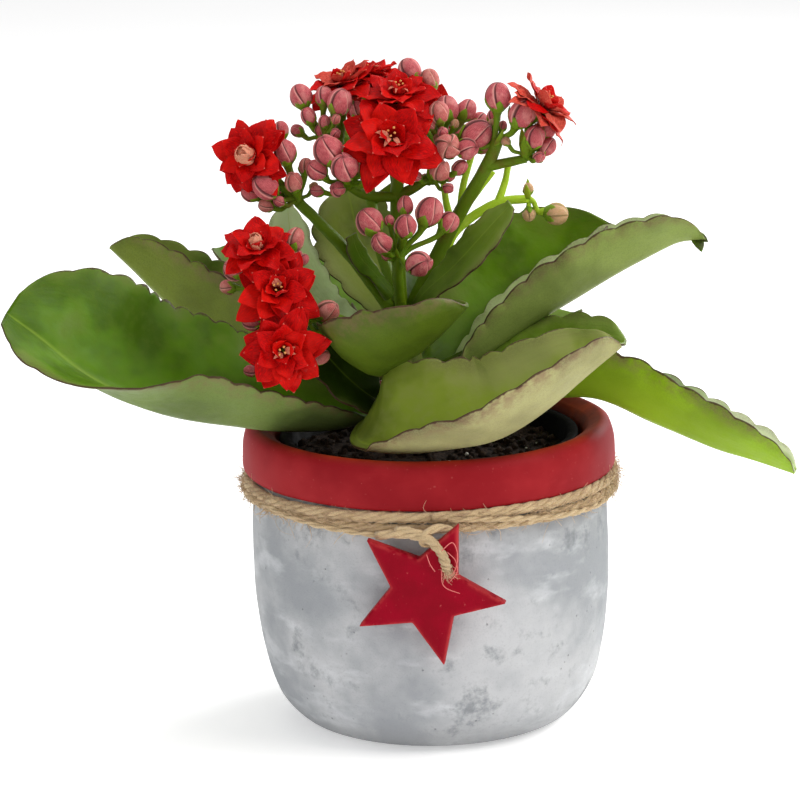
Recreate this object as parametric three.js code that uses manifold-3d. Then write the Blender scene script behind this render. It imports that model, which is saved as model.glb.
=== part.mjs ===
// A potted kalanchoe: a painted pot in a twine band with a hung star, a nursery pot of peat,
// and a double-flowered plant with fleshy folded leaves. Millimetres, +Z up, front at -Y.
import * as THREE from 'three';
import Module from 'manifold-3d';
import { mergeVertices } from 'three/addons/utils/BufferGeometryUtils.js';

const wasm = await Module();
wasm.setup();

// ---- Driving sizes ----
const GAP = 0.3;              // clear space kept between neighbouring pieces

const POT_HEIGHT = 78.5;
const POT_BODY_RADIUS = 46.2;
const POT_NECK_RADIUS = 45.4;
const POT_RIM_RADIUS = 48.2;
const POT_FOOT_RADIUS = 31;
const POT_MOUTH_RADIUS = 39.8;
const POT_FLOOR = 5;
const FOOT_SHIFT = 0.6;       // the handmade foot sits a little to the right of the rim
const RIM_BOTTOM = 66.5;

const LINER_LIP_RADIUS = 38.6;
const LINER_FLOOR_RADIUS = 28.5;
const LINER_WALL = 0.9;
const LINER_TOP = 75;
const DRAIN_HOLE_RADIUS = 3;
const DRAIN_HOLE_CIRCLE = 20; // the radius on which the drain holes sit
const SOIL_LEVEL = 70;

const TWINE_RADIUS = 1.5;
const TWINE_TOP_TURN = 64.6;
const KNOT_CENTRE = [-1, -49.2, 62];
const KNOT_RADIUS = 3;
const TWINE_END = [[-1, -50, 61], [1, -54.2, 59], [2.6, -55.2, 54]];
const STAR_RADIUS = 19.8;
const STAR_NOTCH_RADIUS = 9;
const STAR_THICKNESS = 3;
const STAR_CENTRE = [-1.6, -48.8, 46.8];

const LEAF_THICKNESS = 1.6;
const WIDEST = 0.6;           // where the blade is widest, as a share of its length
const BLADE_STARTS = [0.14, 0.14]; // where the petiole widens into the left and right half blades
const PEDICEL_RADIUS = 0.55;

// ---- Materials ----
const finish = (color, roughness) => new THREE.MeshStandardMaterial({ color, roughness, metalness: 0 });
const cementGrey = finish(0xa8a7a7, 0.8);
const liningPlastic = finish(0x23221f, 0.55);
const peat = finish(0x2c211b, 0.95);
const jute = finish(0xc8ac82, 0.9);
const starPaint = finish(0x9c1424, 0.45);
const stemGreen = finish(0x5f6f2a, 0.5);
const stalkGreen = finish(0x5d6126, 0.5);
const shootGreen = finish(0xb2c063, 0.5);
const petalRed = finish(0xc80806, 0.5);
const leafGreen = finish(0x5c7a26, 0.42);
const paleLeafGreen = finish(0x8ba05e, 0.45);

// ---- Solids ----
const vec = (point) => new THREE.Vector3(...point);

function solidOf(geometry) {
  const bare = geometry.clone();
  bare.deleteAttribute('normal');
  bare.deleteAttribute('uv');
  const merged = mergeVertices(bare, 1e-4);
  const vertProperties = new Float32Array(merged.attributes.position.array);
  const triVerts = new Uint32Array(merged.index.array);
  const mesh = new wasm.Mesh({ numProp: 3, vertProperties, triVerts });
  mesh.merge();
  return new wasm.Manifold(mesh);
}

function geometryOf(solid) {
  const mesh = solid.getMesh();
  const geometry = new THREE.BufferGeometry();
  geometry.setAttribute('position', new THREE.BufferAttribute(mesh.vertProperties, 3));
  geometry.setIndex(new THREE.BufferAttribute(mesh.triVerts, 1));
  geometry.computeVertexNormals();
  return geometry;
}

const unite = (solids) => solids.reduce((whole, next) => whole.add(next));

function largestBody(solid) {
  const bodies = solid.decompose();
  return bodies.reduce((best, body) => (body.volume() > best.volume() ? body : best));
}

const near = (a, b) => a.min.every((low, i) => low <= b.max[i] && a.max[i] >= b.min[i]);

const group = new THREE.Group();
const placed = [];            // grown solids that later pieces are kept clear of

// A piece is shaped by a function of how much it is grown: once for itself, once for its neighbours.
function addPiece(name, material, shape) {
  let solid = shape(0);
  for (const other of placed) {
    if (near(other.box, solid.boundingBox())) solid = solid.subtract(other.solid);
  }
  const own = largestBody(solid);
  const mesh = new THREE.Mesh(geometryOf(own), material);
  mesh.name = name;
  group.add(mesh);
  const grown = shape(GAP).add(own);
  placed.push({ solid: grown, box: grown.boundingBox() });
}

function latheSolid(profile, segments) {
  const points = profile.map(([radius, height]) => new THREE.Vector2(radius, height));
  return solidOf(new THREE.LatheGeometry(points, segments).rotateX(Math.PI / 2));
}

function tube(points, radius, sides = 6, stepsPerSpan = 4) {
  const path = new THREE.CatmullRomCurve3(points.map(vec));
  const section = new THREE.Shape(
    Array.from({ length: sides }, (_, i) => {
      const angle = (2 * Math.PI * i) / sides;
      return new THREE.Vector2(radius * Math.cos(angle), radius * Math.sin(angle));
    }),
  );
  const steps = points.length > 2 ? stepsPerSpan * (points.length - 1) : 1;
  return solidOf(new THREE.ExtrudeGeometry(section, { extrudePath: path, steps, bevelEnabled: false }));
}

// A surface of stacked rings, closed at both ends: each ring is a list of points. The second half of a
// blade's ring runs back along its underside, where the faces are split along the other diagonal so
// that a thin twisted blade's two sides stay apart.
function ringSolid(rings, firstEnd, lastEnd, blade = false) {
  const count = rings[0].length;
  const points = [firstEnd, ...rings.flat(), lastEnd];
  const last = points.length - 1;
  const at = (ring, i) => 1 + ring * count + (i % count);
  const triangles = [];
  for (let i = 0; i < count; i += 1) {
    triangles.push(0, at(0, i + 1), at(0, i));
    for (let ring = 0; ring < rings.length - 1; ring += 1) {
      const [a, b, c, d] = [at(ring, i), at(ring, i + 1), at(ring + 1, i + 1), at(ring + 1, i)];
      if (blade && i >= count / 2) triangles.push(a, b, d, b, c, d);
      else triangles.push(a, b, c, a, c, d);
    }
    triangles.push(last, at(rings.length - 1, i), at(rings.length - 1, i + 1));
  }
  const geometry = new THREE.BufferGeometry().setFromPoints(points);
  geometry.setIndex(triangles);
  const solid = solidOf(geometry);
  return solid.volume() > 0 ? solid : solidOf(geometry.setIndex(triangles.reverse()));
}

// ---- Pot ----
function potProfile(grow) {
  const wall = new THREE.SplineCurve([
    new THREE.Vector2(POT_FOOT_RADIUS, 0),
    new THREE.Vector2(35.4, 1.5),
    new THREE.Vector2(39.8, 6),
    new THREE.Vector2(42.6, 12),
    new THREE.Vector2(44.4, 20),
    new THREE.Vector2(45.7, 31),
    new THREE.Vector2(POT_BODY_RADIUS, 44),
    new THREE.Vector2(POT_BODY_RADIUS - 0.2, 55),
    new THREE.Vector2(POT_NECK_RADIUS, RIM_BOTTOM - 3),
  ]);
  const outside = wall.getPoints(10).map((point) => [point.x + grow, point.y]);
  const rim = [
    [POT_NECK_RADIUS + grow, RIM_BOTTOM - 0.7],
    [POT_RIM_RADIUS - 0.4 + grow, RIM_BOTTOM],
    [POT_RIM_RADIUS + grow, RIM_BOTTOM + 4],
    [POT_RIM_RADIUS - 0.6 + grow, POT_HEIGHT - 3],
    [POT_RIM_RADIUS - 2 + grow, POT_HEIGHT - 0.8 + grow],
    [POT_RIM_RADIUS - 3.6, POT_HEIGHT + grow],
    [POT_MOUTH_RADIUS + 2.6, POT_HEIGHT - 0.8 + grow],
    [POT_MOUTH_RADIUS - grow, POT_HEIGHT - 3.6],
  ];
  const inside = [
    [POT_MOUTH_RADIUS - 0.3 - grow, 66],
    [POT_MOUTH_RADIUS - 0.5 - grow, 36],
    [37 - grow, 14],
    [32 - grow, POT_FLOOR + 1 + grow],
    [0, POT_FLOOR + grow],
  ];
  return [[0, 0], ...outside, ...rim, ...inside];
}

function pot(grow) {
  return latheSolid(potProfile(grow), 36).warp((point) => {
    const low = Math.max(0, 1 - point[2] / 46);
    point[0] += FOOT_SHIFT * low * low;
  });
}
addPiece('pot', cementGrey, pot);

// ---- Nursery pot with its drain holes ----
function nurseryPot(grow) {
  const floor = POT_FLOOR + 1.5;
  const shell = latheSolid([
    [0, floor - grow],
    [LINER_FLOOR_RADIUS + grow, floor - grow],
    [LINER_LIP_RADIUS - 1.8 + grow, LINER_TOP - 2.5],
    [LINER_LIP_RADIUS + grow, LINER_TOP - 2],
    [LINER_LIP_RADIUS + grow, LINER_TOP + grow],
    [LINER_LIP_RADIUS - 1.8 - LINER_WALL - grow, LINER_TOP + grow],
    [LINER_FLOOR_RADIUS - LINER_WALL - grow, floor + LINER_WALL + grow],
    [0, floor + LINER_WALL + grow],
  ], 32);
  const holes = [0, 1, 2, 3].map((index) => {
    const hole = new THREE.CylinderGeometry(DRAIN_HOLE_RADIUS, DRAIN_HOLE_RADIUS, 6, 10).rotateX(Math.PI / 2);
    const turn = (index * Math.PI) / 2;
    const [x, y] = [DRAIN_HOLE_CIRCLE * Math.cos(turn), DRAIN_HOLE_CIRCLE * Math.sin(turn)];
    return solidOf(hole.translate(x, y, floor));
  });
  return grow > 0 ? shell : shell.subtract(unite(holes));
}
addPiece('nursery_pot', liningPlastic, nurseryPot);

// ---- Main stem, rooted in the peat ----
const STEM = [[2, 6, 58], [0, 6, 74], [-4, 5, 90], [-6, 5, 106]];
const STEM_RADIUS = 3.4;
addPiece('stem', stemGreen, (grow) => tube(STEM, STEM_RADIUS + grow, 8, 3));

// ---- Peat ----
function soil(grow) {
  const profile = [
    [0, 9], [26, 9], [33.5, 66], [33.5, SOIL_LEVEL - 1], [24, SOIL_LEVEL + 1], [0, SOIL_LEVEL],
  ];
  const body = latheSolid(profile.map(([radius, height]) => [radius && radius + grow, height]), 24);
  return body.warp((point) => {
    const lift = point[2] > 60 ? 1 : 0;
    point[2] += lift * (grow + 0.9 * Math.sin(point[0] / 5) * Math.cos(point[1] / 6));
  });
}
addPiece('soil', peat, soil);

// ---- Twine: two turns round the neck, a knot at the front and its loose end ----
function twine(grow) {
  const turnRadius = POT_NECK_RADIUS + TWINE_RADIUS + 2 * GAP;
  const turns = [0, 1].map((turn) => {
    const ring = new THREE.TorusGeometry(turnRadius, TWINE_RADIUS + grow, 6, 30);
    return solidOf(ring.translate(0, 0, TWINE_TOP_TURN - turn * (2 * TWINE_RADIUS + 0.2)));
  });
  const ball = new THREE.SphereGeometry(KNOT_RADIUS + grow, 8, 6).scale(1, 0.8, 1.1);
  const knot = solidOf(ball.translate(...KNOT_CENTRE));
  const end = tube(TWINE_END, 1 + grow, 6, 2);
  return unite([...turns, knot, end]);
}
addPiece('twine', jute, twine);

// ---- Hung star ----
function star(grow) {
  const outline = new THREE.Shape();
  for (let point = 0; point < 10; point += 1) {
    const radius = (point % 2 ? STAR_NOTCH_RADIUS : STAR_RADIUS) + grow;
    const angle = THREE.MathUtils.degToRad(65 + 36 * point);
    const corner = [radius * Math.cos(angle), radius * Math.sin(angle)];
    if (point === 0) outline.moveTo(...corner);
    else outline.lineTo(...corner);
  }
  const bevel = 0.5;
  const plate = new THREE.ExtrudeGeometry(outline, {
    depth: STAR_THICKNESS - 2 * bevel + grow, bevelThickness: bevel, bevelSize: bevel, bevelOffset: -bevel,
    bevelSegments: 1,
  });
  plate.rotateX(Math.PI / 2).rotateX(0.1).rotateZ(-0.16);
  return solidOf(plate.translate(...STAR_CENTRE));
}
addPiece('star_tag', starPaint, star);

// ---- Flower stalks: a tube, its side branches, and the buds on their pedicels ----
const BUD_PROFILE = [[0, -1.1], [0.95, -0.4], [0.85, 0.55], [0, 1.15]];

// A bud is [right, back, up, radius] from the hub that its pedicel leaves.
function bud(hub, [right, back, up, radius], grow) {
  const centre = vec(hub).add(new THREE.Vector3(right, back, up));
  const direction = centre.clone().sub(vec(hub)).normalize();
  const points = BUD_PROFILE.map(([r, h]) => new THREE.Vector2(r * (radius + grow), h * (radius + grow)));
  const shape = new THREE.LatheGeometry(points, 5);
  shape.applyQuaternion(new THREE.Quaternion().setFromUnitVectors(new THREE.Vector3(0, 1, 0), direction));
  const pedicel = tube([hub, centre.toArray()], PEDICEL_RADIUS + grow, 4);
  return solidOf(shape.translate(...centre.toArray())).add(pedicel);
}

const stalk = ({ radius, branches, clusters }) => (grow) => unite([
  ...branches.map((points, index) => tube(points, radius * (index ? 0.7 : 1) + grow, 6, 3)),
  ...clusters.flatMap(({ hub, buds }) => buds.map((entry) => bud(hub, entry, grow))),
]);

const STALKS = {
  left: {
    radius: 1.6,
    branches: [[[-7, 5, 103], [-20, 2, 122], [-32, -2, 136]], [[-32, -2, 136], [-38, -5, 143]]],
    clusters: [
      { hub: [-32, -2, 136],
        buds: [[-8, -6, 5, 3.2], [-1, -5, 6, 2.4], [-3, -2, 13, 2.8], [2, 0, 9, 1.9], [-4, 4, 18, 2],
          [-8, -4, 0, 1.8], [-12, -3, 3, 2.1], [4, 0, 4, 1.1]] },
    ],
  },
  centre: {
    radius: 1.7,
    branches: [
      [[-6.5, 5, 104], [-7, 4, 122], [-7, 2, 138], [-5, -1, 147]],
      [[-7, 2, 136], [-16, 0, 137.5], [-22, 0, 143], [-26, 4, 151]],
      [[-7, 2, 136], [2, 1, 142], [5, 2, 150]],
      [[-7, 2, 138], [-8, 3, 150], [-6, 4, 160]],
      [[-22, 0, 143], [-21, 5, 153], [-20, 8, 162]],
    ],
    clusters: [
      { hub: [-26, 4, 151],
        buds: [[-5, 2, 11, 2.9], [1, 0, 11, 2.3], [5, -3, 10, 3.2], [-3, -1, 6, 2], [1, -3, 5, 1.5],
          [-6, 2, 2, 1.6]] },
      { hub: [-19, -2, 140],
        buds: [[-5, -6, 10, 3.6], [-1, -8, 6, 3.4], [-8, -5, 5, 2.6], [5, -4, 7, 2.3], [5, -4, 2, 1.9],
          [-3, -5, 0, 2], [-8, -2, -1, 1.5]] },
      { hub: [5, 2, 150],
        buds: [[-8, 8, 17, 3.1], [-3, 6, 15, 2.5], [1, 3, 8, 3.2], [-1, -3, 8, 2.7], [6, 5, 7, 2.5],
          [9, 6, 4, 2.2], [8, -2, 2, 3.6], [1, -7, 0, 3.3], [6, -5, -1, 2.8], [10, 1, -2, 1.6]] },
      { hub: [2, 1, 140], buds: [[2, -6, 4, 2.7], [7, -3, 4, 1.9], [4, -4, -1, 1.4]] },
    ],
  },
  right: {
    radius: 1.8,
    branches: [[[-5, 6, 104], [7, 3, 128], [17, -1, 146], [19, -1, 151]], [[16, -1, 144], [26, -2, 146]]],
    clusters: [
      { hub: [18, -1, 149], buds: [[1, -1, 13, 3.4], [7, -4, 9, 3.5], [0, 4, 7, 1.8]] },
      { hub: [26, -2, 146], buds: [[2, -4, 6, 2.7], [5, 0, 8, 2.8], [5, -1, 3, 2.2], [3, -4, 1, 1.5]] },
    ],
  },
  front: {
    radius: 1.4,
    branches: [[[-6.5, 4, 106], [-7, -4, 113], [-7, -8, 120], [-6, -8, 126]]],
    clusters: [
      { hub: [-7, -8, 122],
        buds: [[-7, -2, 10, 3.4], [-4, -5, 5, 2.6], [-2, -1, 10, 1.3], [2, 2, 13, 2.1], [2, -4, 9, 2.8],
          [8, -1, 12, 3.4], [13, 1, 9, 2.6], [5, -7, 0, 3.2]] },
    ],
  },
  low_left: {
    radius: 1.3,
    branches: [[[-7, 4, 96], [-20, -10, 106], [-32, -18, 114], [-38, -18, 121]],
      [[-32, -18, 114], [-33, -22, 106], [-34, -25, 100]]],
    clusters: [
      { hub: [-38, -18, 121], buds: [[5, 1, 8, 2.6], [-10, 1, 1, 2.8], [-12, 3, -4, 1.9], [7, 1, 3, 1.5]] },
      { hub: [-32, -20, 110], buds: [[7, -3, 2, 2.8], [8, -4, -3, 2.2], [-12, 0, -1, 2.3]] },
      { hub: [-34, -25, 100], buds: [[7, -1, 1, 2], [-10, -2, -2, 1.7]] },
    ],
  },
  shoots: {
    radius: 1,
    branches: [
      [[-3, 8, 104], [4, 11, 116], [8, 12, 125], [19, 13, 132], [27, 13, 133]],
      [[8, 12, 125], [11, 14, 131], [18, 15, 140]],
      [[19, 13, 132], [21, 15, 137], [22, 15, 142]],
      [[8, 12, 125], [6, 13, 131], [5, 13, 138]],
      [[9, 12, 127], [10, 13, 136], [13, 14, 146]],
    ],
    clusters: [
      { hub: [27, 13, 133], buds: [[7, -1, -4, 2.8], [0, -1, -4, 1.7], [0, 2, 2, 1.4]] },
    ],
  },
  rear: {
    radius: 1.5,
    branches: [[[-6, 6, 105], [-12, 16, 122], [-14, 22, 138], [-12, 22, 150]],
      [[-13, 20, 132], [-2, 22, 140], [3, 20, 146]]],
    clusters: [
      { hub: [-14, 22, 142],
        buds: [[-8, 4, 8, 3], [-4, 8, 4, 2.6], [-9, 0, 1, 2.2], [4, 7, 9, 3], [10, 4, 7, 2.4],
          [-3, 3, 13, 2]] },
      { hub: [3, 20, 146], buds: [[5, 4, 1, 3], [7, 0, 3, 2.2], [-5, 4, 11, 2.4]] },
    ],
  },
};

for (const [place, plan] of Object.entries(STALKS)) {
  addPiece(`stalk_${place}`, place === 'shoots' ? shootGreen : stalkGreen, stalk(plan));
}

// ---- Double flowers: a rosette of pointed petals in three whorls over a narrow calyx ----
const FLOWERS = {
  crown: { at: [-13, 16, 166], faces: [-0.1, 0.1, 1], radius: 8 },
  crown_left: { at: [-20, 9, 165], faces: [-0.3, -0.2, 1], radius: 10 },
  crown_middle: { at: [-6, 2, 163], faces: [0.1, -0.45, 1], radius: 10.5 },
  centre: { at: [-8, -8, 153], faces: [0.05, -0.85, 0.6], radius: 12.5 },
  left: { at: [-44, -7, 149], faces: [-0.35, -0.75, 0.3], radius: 10 },
  low_top: { at: [-42, -23, 129], faces: [-0.1, -0.6, 0.8], radius: 9.5 },
  low_middle: { at: [-37, -29, 119], faces: [0, -0.8, 0.5], radius: 10.5 },
  low_bottom: { at: [-36, -35, 105], faces: [-0.05, -0.95, 0.15], radius: 10.5 },
  right: { at: [31, -4, 160], faces: [0.63, -0.15, 0.77], radius: 9.5 },
  rear: { at: [-13, 30, 159], faces: [0, 0.8, 0.6], radius: 10.5 },
  rear_right: { at: [4, 30, 153], faces: [0.4, 0.7, 0.4], radius: 9 },
};

const PETAL_COUNT = 8;
// The calyx and the three whorls, as shares of the flower's radius: petal tip radius, valley radius, height.
const WHORLS = [[0.28, 0.28, -0.38], [1, 0.62, -0.02], [0.52, 0.8, 0.24], [0.52, 0.34, 0.42]];

const flower = ({ at, faces, radius }) => (grow) => {
  const size = radius + grow;
  const turn = new THREE.Quaternion().setFromUnitVectors(new THREE.Vector3(0, 0, 1), vec(faces).normalize());
  const place = (x, y, z) =>
    new THREE.Vector3(x, y, z).multiplyScalar(size).applyQuaternion(turn).add(vec(at));
  const rings = WHORLS.map(([tip, valley, height]) =>
    Array.from({ length: 2 * PETAL_COUNT }, (_, i) => {
      const reach = i % 2 ? valley : tip;
      const angle = (Math.PI * i) / PETAL_COUNT;
      return place(reach * Math.cos(angle), reach * Math.sin(angle), height);
    }));
  return ringSolid(rings, place(0, 0, -0.5), place(0, 0, 0.3));
};

for (const [name, plan] of Object.entries(FLOWERS)) addPiece(`flower_${name}`, petalRed, flower(plan));

// ---- Leaves: a fleshy blade folded along its spine, with a scalloped margin ----
// spine: points from petiole to tip; half widths, fold and lobe are [left, right] seen towards the tip;
// up and tipUp: which way the upper face looks at the base and at the tip; open: how far the fold
// flattens towards the tip; lobe: how far the blade's base reaches back; starts: where it begins.
const LEAVES = {
  big_left: { spine: [[-5, 0, 84], [-22, -8, 79], [-48, -19, 82], [-77, -27, 92], [-105, -30, 115]],
    halves: [24, 33], fold: [42, 50], up: [0.1, 0, 1], tipUp: [0.25, -0.5, 0.85], open: 0.6 },
  front: { spine: [[-5, 0, 84], [-17, -14, 80], [-16, -31, 79], [16, -41, 83], [48, -36, 105]],
    halves: [26, 22], fold: [46, 36], up: [-0.3, 0, 1], lobe: [18, 0], starts: [0.14, 0.5] },
  drooping_right: { spine: [[1, 3, 82], [20, -1, 83], [42, -8, 85], [67, -20, 76.5], [92, -28, 69]],
    halves: [14, 20], fold: [50, 52], up: [0.2, 0, 1], open: 0.3 },
  upper_right: { spine: [[-2, 4, 90], [10, 7, 91], [28, 11, 101], [52, 15, 114], [72, 18, 123]],
    halves: [17, 18], fold: [40, 58], up: [-0.2, 0, 1], open: 0.3 },
  big_back: { spine: [[-4, 8, 90], [10, 13, 91], [26, 22, 97], [40, 30, 109], [50, 34, 122]],
    halves: [30, 18], fold: [58, 24], up: [-0.4, 0, 1] },
  right_back: { spine: [[0, 4, 86], [15, 3, 88], [31, 1, 92], [51, -4, 98]],
    halves: [15, 12], fold: [46, 28], up: [-0.1, 0, 1] },
  upper_left: { spine: [[-6, 7, 90], [-22, 11, 86], [-44, 18, 91], [-65, 24, 103], [-83, 28, 120]],
    halves: [20, 20], fold: [70, 52], up: [0.2, 0, 1], open: 0.1 },
  centre_front: { spine: [[-5, 0, 94], [-12, -15, 94], [-11, -26, 97], [-1, -31, 104], [10, -32, 115]],
    halves: [12, 25], fold: [46, 56], up: [0, 0, 1], open: 0.2, lobe: [0, 7] },
  centre_right: { spine: [[-4, 4, 103], [-1, 1, 110], [7, -2, 118], [15, -4, 127], [22, -6, 135]],
    halves: [5, 7], fold: [16, 16], up: [-0.3, -0.7, 0.6] },
  centre_left: { spine: [[-5, -1, 84], [-12, -6, 84], [-19, -10, 90], [-27, -12, 99], [-32, -12, 107]],
    halves: [12, 12], fold: [20, 20], up: [0.3, -0.6, 0.7] },
  pale_left: { spine: [[-8, 8, 98], [-17, 14, 100], [-27, 20, 104], [-34, 25, 115], [-36, 28, 130]],
    halves: [9, 7], fold: [14, 14], up: [0.2, -1, 0.4] },
  upright_back: { spine: [[-8, 10, 98], [-11, 20, 104], [-15, 28, 114], [-18, 33, 123], [-20, 35, 133]],
    halves: [13, 12], fold: [16, 16], up: [0, -1, 0.3] },
  bract: { spine: [[-9, 2, 110], [-13, 1, 116], [-17, 0, 121], [-19, -1, 127]],
    halves: [3, 3], fold: [14, 14], up: [0.4, -0.8, 0.4] },
  rear_left: { spine: [[-6, 8, 93], [-20, 26, 94], [-38, 44, 101], [-56, 58, 113]],
    halves: [18, 18], fold: [26, 26], up: [0.2, -0.2, 1] },
  rear_middle: { spine: [[-4, 9, 90], [-4, 28, 90], [-2, 48, 95], [0, 66, 106]],
    halves: [20, 20], fold: [28, 28], up: [0, -0.2, 1] },
  rear_right: { spine: [[-1, 8, 84], [14, 24, 82], [28, 40, 86], [40, 53, 94]],
    halves: [16, 16], fold: [26, 26], up: [-0.2, -0.2, 1] },
  low_rear_left: { spine: [[-3, 6, 84], [-22, 18, 80], [-42, 32, 84], [-58, 42, 92]],
    halves: [15, 15], fold: [24, 24], up: [0.2, -0.2, 1] },
};

const LEAF_STEPS = 11;
const PETIOLE_HALF_WIDTH = 1.8;
const SCALLOP = 0.05;

// Share of the full half width at a place along the spine: it widens from the petiole to WIDEST,
// then closes in a round tip.
function bladeShare(u, start) {
  const along = Math.max(0, (u - start) / (1 - start));
  if (along < WIDEST) return Math.sin((Math.PI / 2) * (along / WIDEST)) ** 0.9;
  return Math.sqrt(Math.max(0, 1 - ((along - WIDEST) / (1 - WIDEST)) ** 2.2));
}

const PLAIN_LEAF = { open: 0, lobe: [0, 0], starts: BLADE_STARTS };

const leaf = (plan) => (grow) => {
  const { spine, halves, fold, up, tipUp = up, open, lobe, starts } = { ...PLAIN_LEAF, ...plan };
  const path = new THREE.CatmullRomCurve3(spine.map(vec));
  const rings = [];
  for (let step = 0; step <= LEAF_STEPS; step += 1) {
    const u = 0.04 + 0.95 * (step / LEAF_STEPS);
    const centre = path.getPoint(u);
    const along = path.getTangent(u);
    const late = THREE.MathUtils.smoothstep(u, 0.6, 1);
    const faceUp = vec(up).lerp(vec(tipUp), late);
    const right = new THREE.Vector3().crossVectors(along, faceUp).normalize();
    const normal = new THREE.Vector3().crossVectors(right, along).normalize();
    const scallop = step % 2 ? 1 + SCALLOP : 1 - SCALLOP;
    const point = (side, share, sink) => {
      const half = side > 0 ? 1 : 0;
      const angle = THREE.MathUtils.degToRad(fold[half] * (1 - open * late));
      const full = halves[half] * bladeShare(u, starts[half]) * scallop;
      const width = share * (Math.max(full, PETIOLE_HALF_WIDTH) + grow);
      const reachBack = lobe[half] * Math.max(0, 1 - u / 0.7);
      return centre.clone()
        .addScaledVector(right, side * width * Math.cos(angle))
        .addScaledVector(normal, width * Math.sin(angle) - sink)
        .addScaledVector(along, -reachBack * share ** 2);
    };
    const top = -grow;
    const underneath = LEAF_THICKNESS + grow;
    rings.push([
      point(-1, 1, 0), point(-1, 0.5, top), point(1, 0, top), point(1, 0.5, top),
      point(1, 1, 0), point(1, 0.5, underneath), point(1, 0, underneath), point(-1, 0.5, underneath),
    ]);
  }
  const middle = (ring) => ring[2].clone().add(ring[6]).multiplyScalar(0.5);
  return ringSolid(rings, middle(rings[0]), middle(rings[LEAF_STEPS]), true);
};

const PALE_LEAVES = ['pale_left', 'bract', 'drooping_right'];
for (const [name, plan] of Object.entries(LEAVES)) {
  addPiece(`leaf_${name}`, PALE_LEAVES.includes(name) ? paleLeafGreen : leafGreen, leaf(plan));
}

export default group;
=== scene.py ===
import math
import random

import bpy
from mathutils import Matrix, Vector, noise


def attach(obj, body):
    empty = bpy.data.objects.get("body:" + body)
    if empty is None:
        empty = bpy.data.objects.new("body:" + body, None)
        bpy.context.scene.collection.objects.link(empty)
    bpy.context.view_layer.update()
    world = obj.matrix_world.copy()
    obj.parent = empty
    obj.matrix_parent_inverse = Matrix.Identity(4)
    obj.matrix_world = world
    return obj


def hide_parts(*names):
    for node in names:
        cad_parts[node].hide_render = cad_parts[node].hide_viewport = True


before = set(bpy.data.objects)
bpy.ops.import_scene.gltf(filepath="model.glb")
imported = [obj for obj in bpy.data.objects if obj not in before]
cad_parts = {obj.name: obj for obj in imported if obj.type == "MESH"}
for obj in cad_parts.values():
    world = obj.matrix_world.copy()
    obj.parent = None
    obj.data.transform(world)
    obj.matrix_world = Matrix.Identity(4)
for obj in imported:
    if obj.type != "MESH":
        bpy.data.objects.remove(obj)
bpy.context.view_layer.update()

MM = 0.001
ROOT = "root"
DICE = random.Random(7)
TURN = 2 * math.pi


# ---------------------------------------------------------------- camera, light and floor

CAMERA_ELEVATION = math.radians(13.5)
CAMERA_DISTANCE = 0.9
CAMERA_ROLL = math.radians(-1.2)
CAMERA_LENS = 156.9
CAMERA_AIM = Vector((-7.3, 0, 83.3)) * MM


def make_camera():
    data = bpy.data.cameras.new("camera")
    data.lens = CAMERA_LENS
    data.sensor_width = 36
    data.clip_start = 0.01
    camera = bpy.data.objects.new("camera", data)
    bpy.context.collection.objects.link(camera)
    back = Vector((0, -math.cos(CAMERA_ELEVATION), math.sin(CAMERA_ELEVATION)))
    look = (-back).to_track_quat("-Z", "Y").to_matrix().to_4x4()
    place = Matrix.Translation(CAMERA_AIM + CAMERA_DISTANCE * back)
    camera.matrix_world = place @ look @ Matrix.Rotation(CAMERA_ROLL, 4, "Z")
    bpy.context.scene.camera = camera


def make_light(name, at, size, power, colour=(1, 1, 1)):
    data = bpy.data.lights.new(name, "AREA")
    data.shape = "DISK"
    data.size = size
    data.energy = power
    data.color = colour
    light = bpy.data.objects.new(name, data)
    light.location = at
    light.rotation_euler = (CAMERA_AIM - Vector(at)).to_track_quat("-Z", "Y").to_euler()
    bpy.context.collection.objects.link(light)


def make_studio():
    make_light("key_right", (0.75, -0.35, 0.75), 0.6, 5.6, (1, 0.985, 0.96))
    make_light("back_right", (0.75, 0.75, 0.55), 0.5, 8)
    make_light("fill_left", (-0.9, -0.6, 0.5), 0.9, 1.4, (0.96, 0.98, 1))
    make_light("top", (-0.1, 0.15, 1.3), 0.9, 5)
    world = bpy.data.worlds.new("studio")
    world.use_nodes = True
    background = world.node_tree.nodes["Background"]
    background.inputs["Color"].default_value = (1, 1, 1, 1)
    background.inputs["Strength"].default_value = 0.52
    bpy.context.scene.world = world
    bpy.context.scene.view_settings.view_transform = "Standard"


# ---------------------------------------------------------------- mesh building

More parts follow.
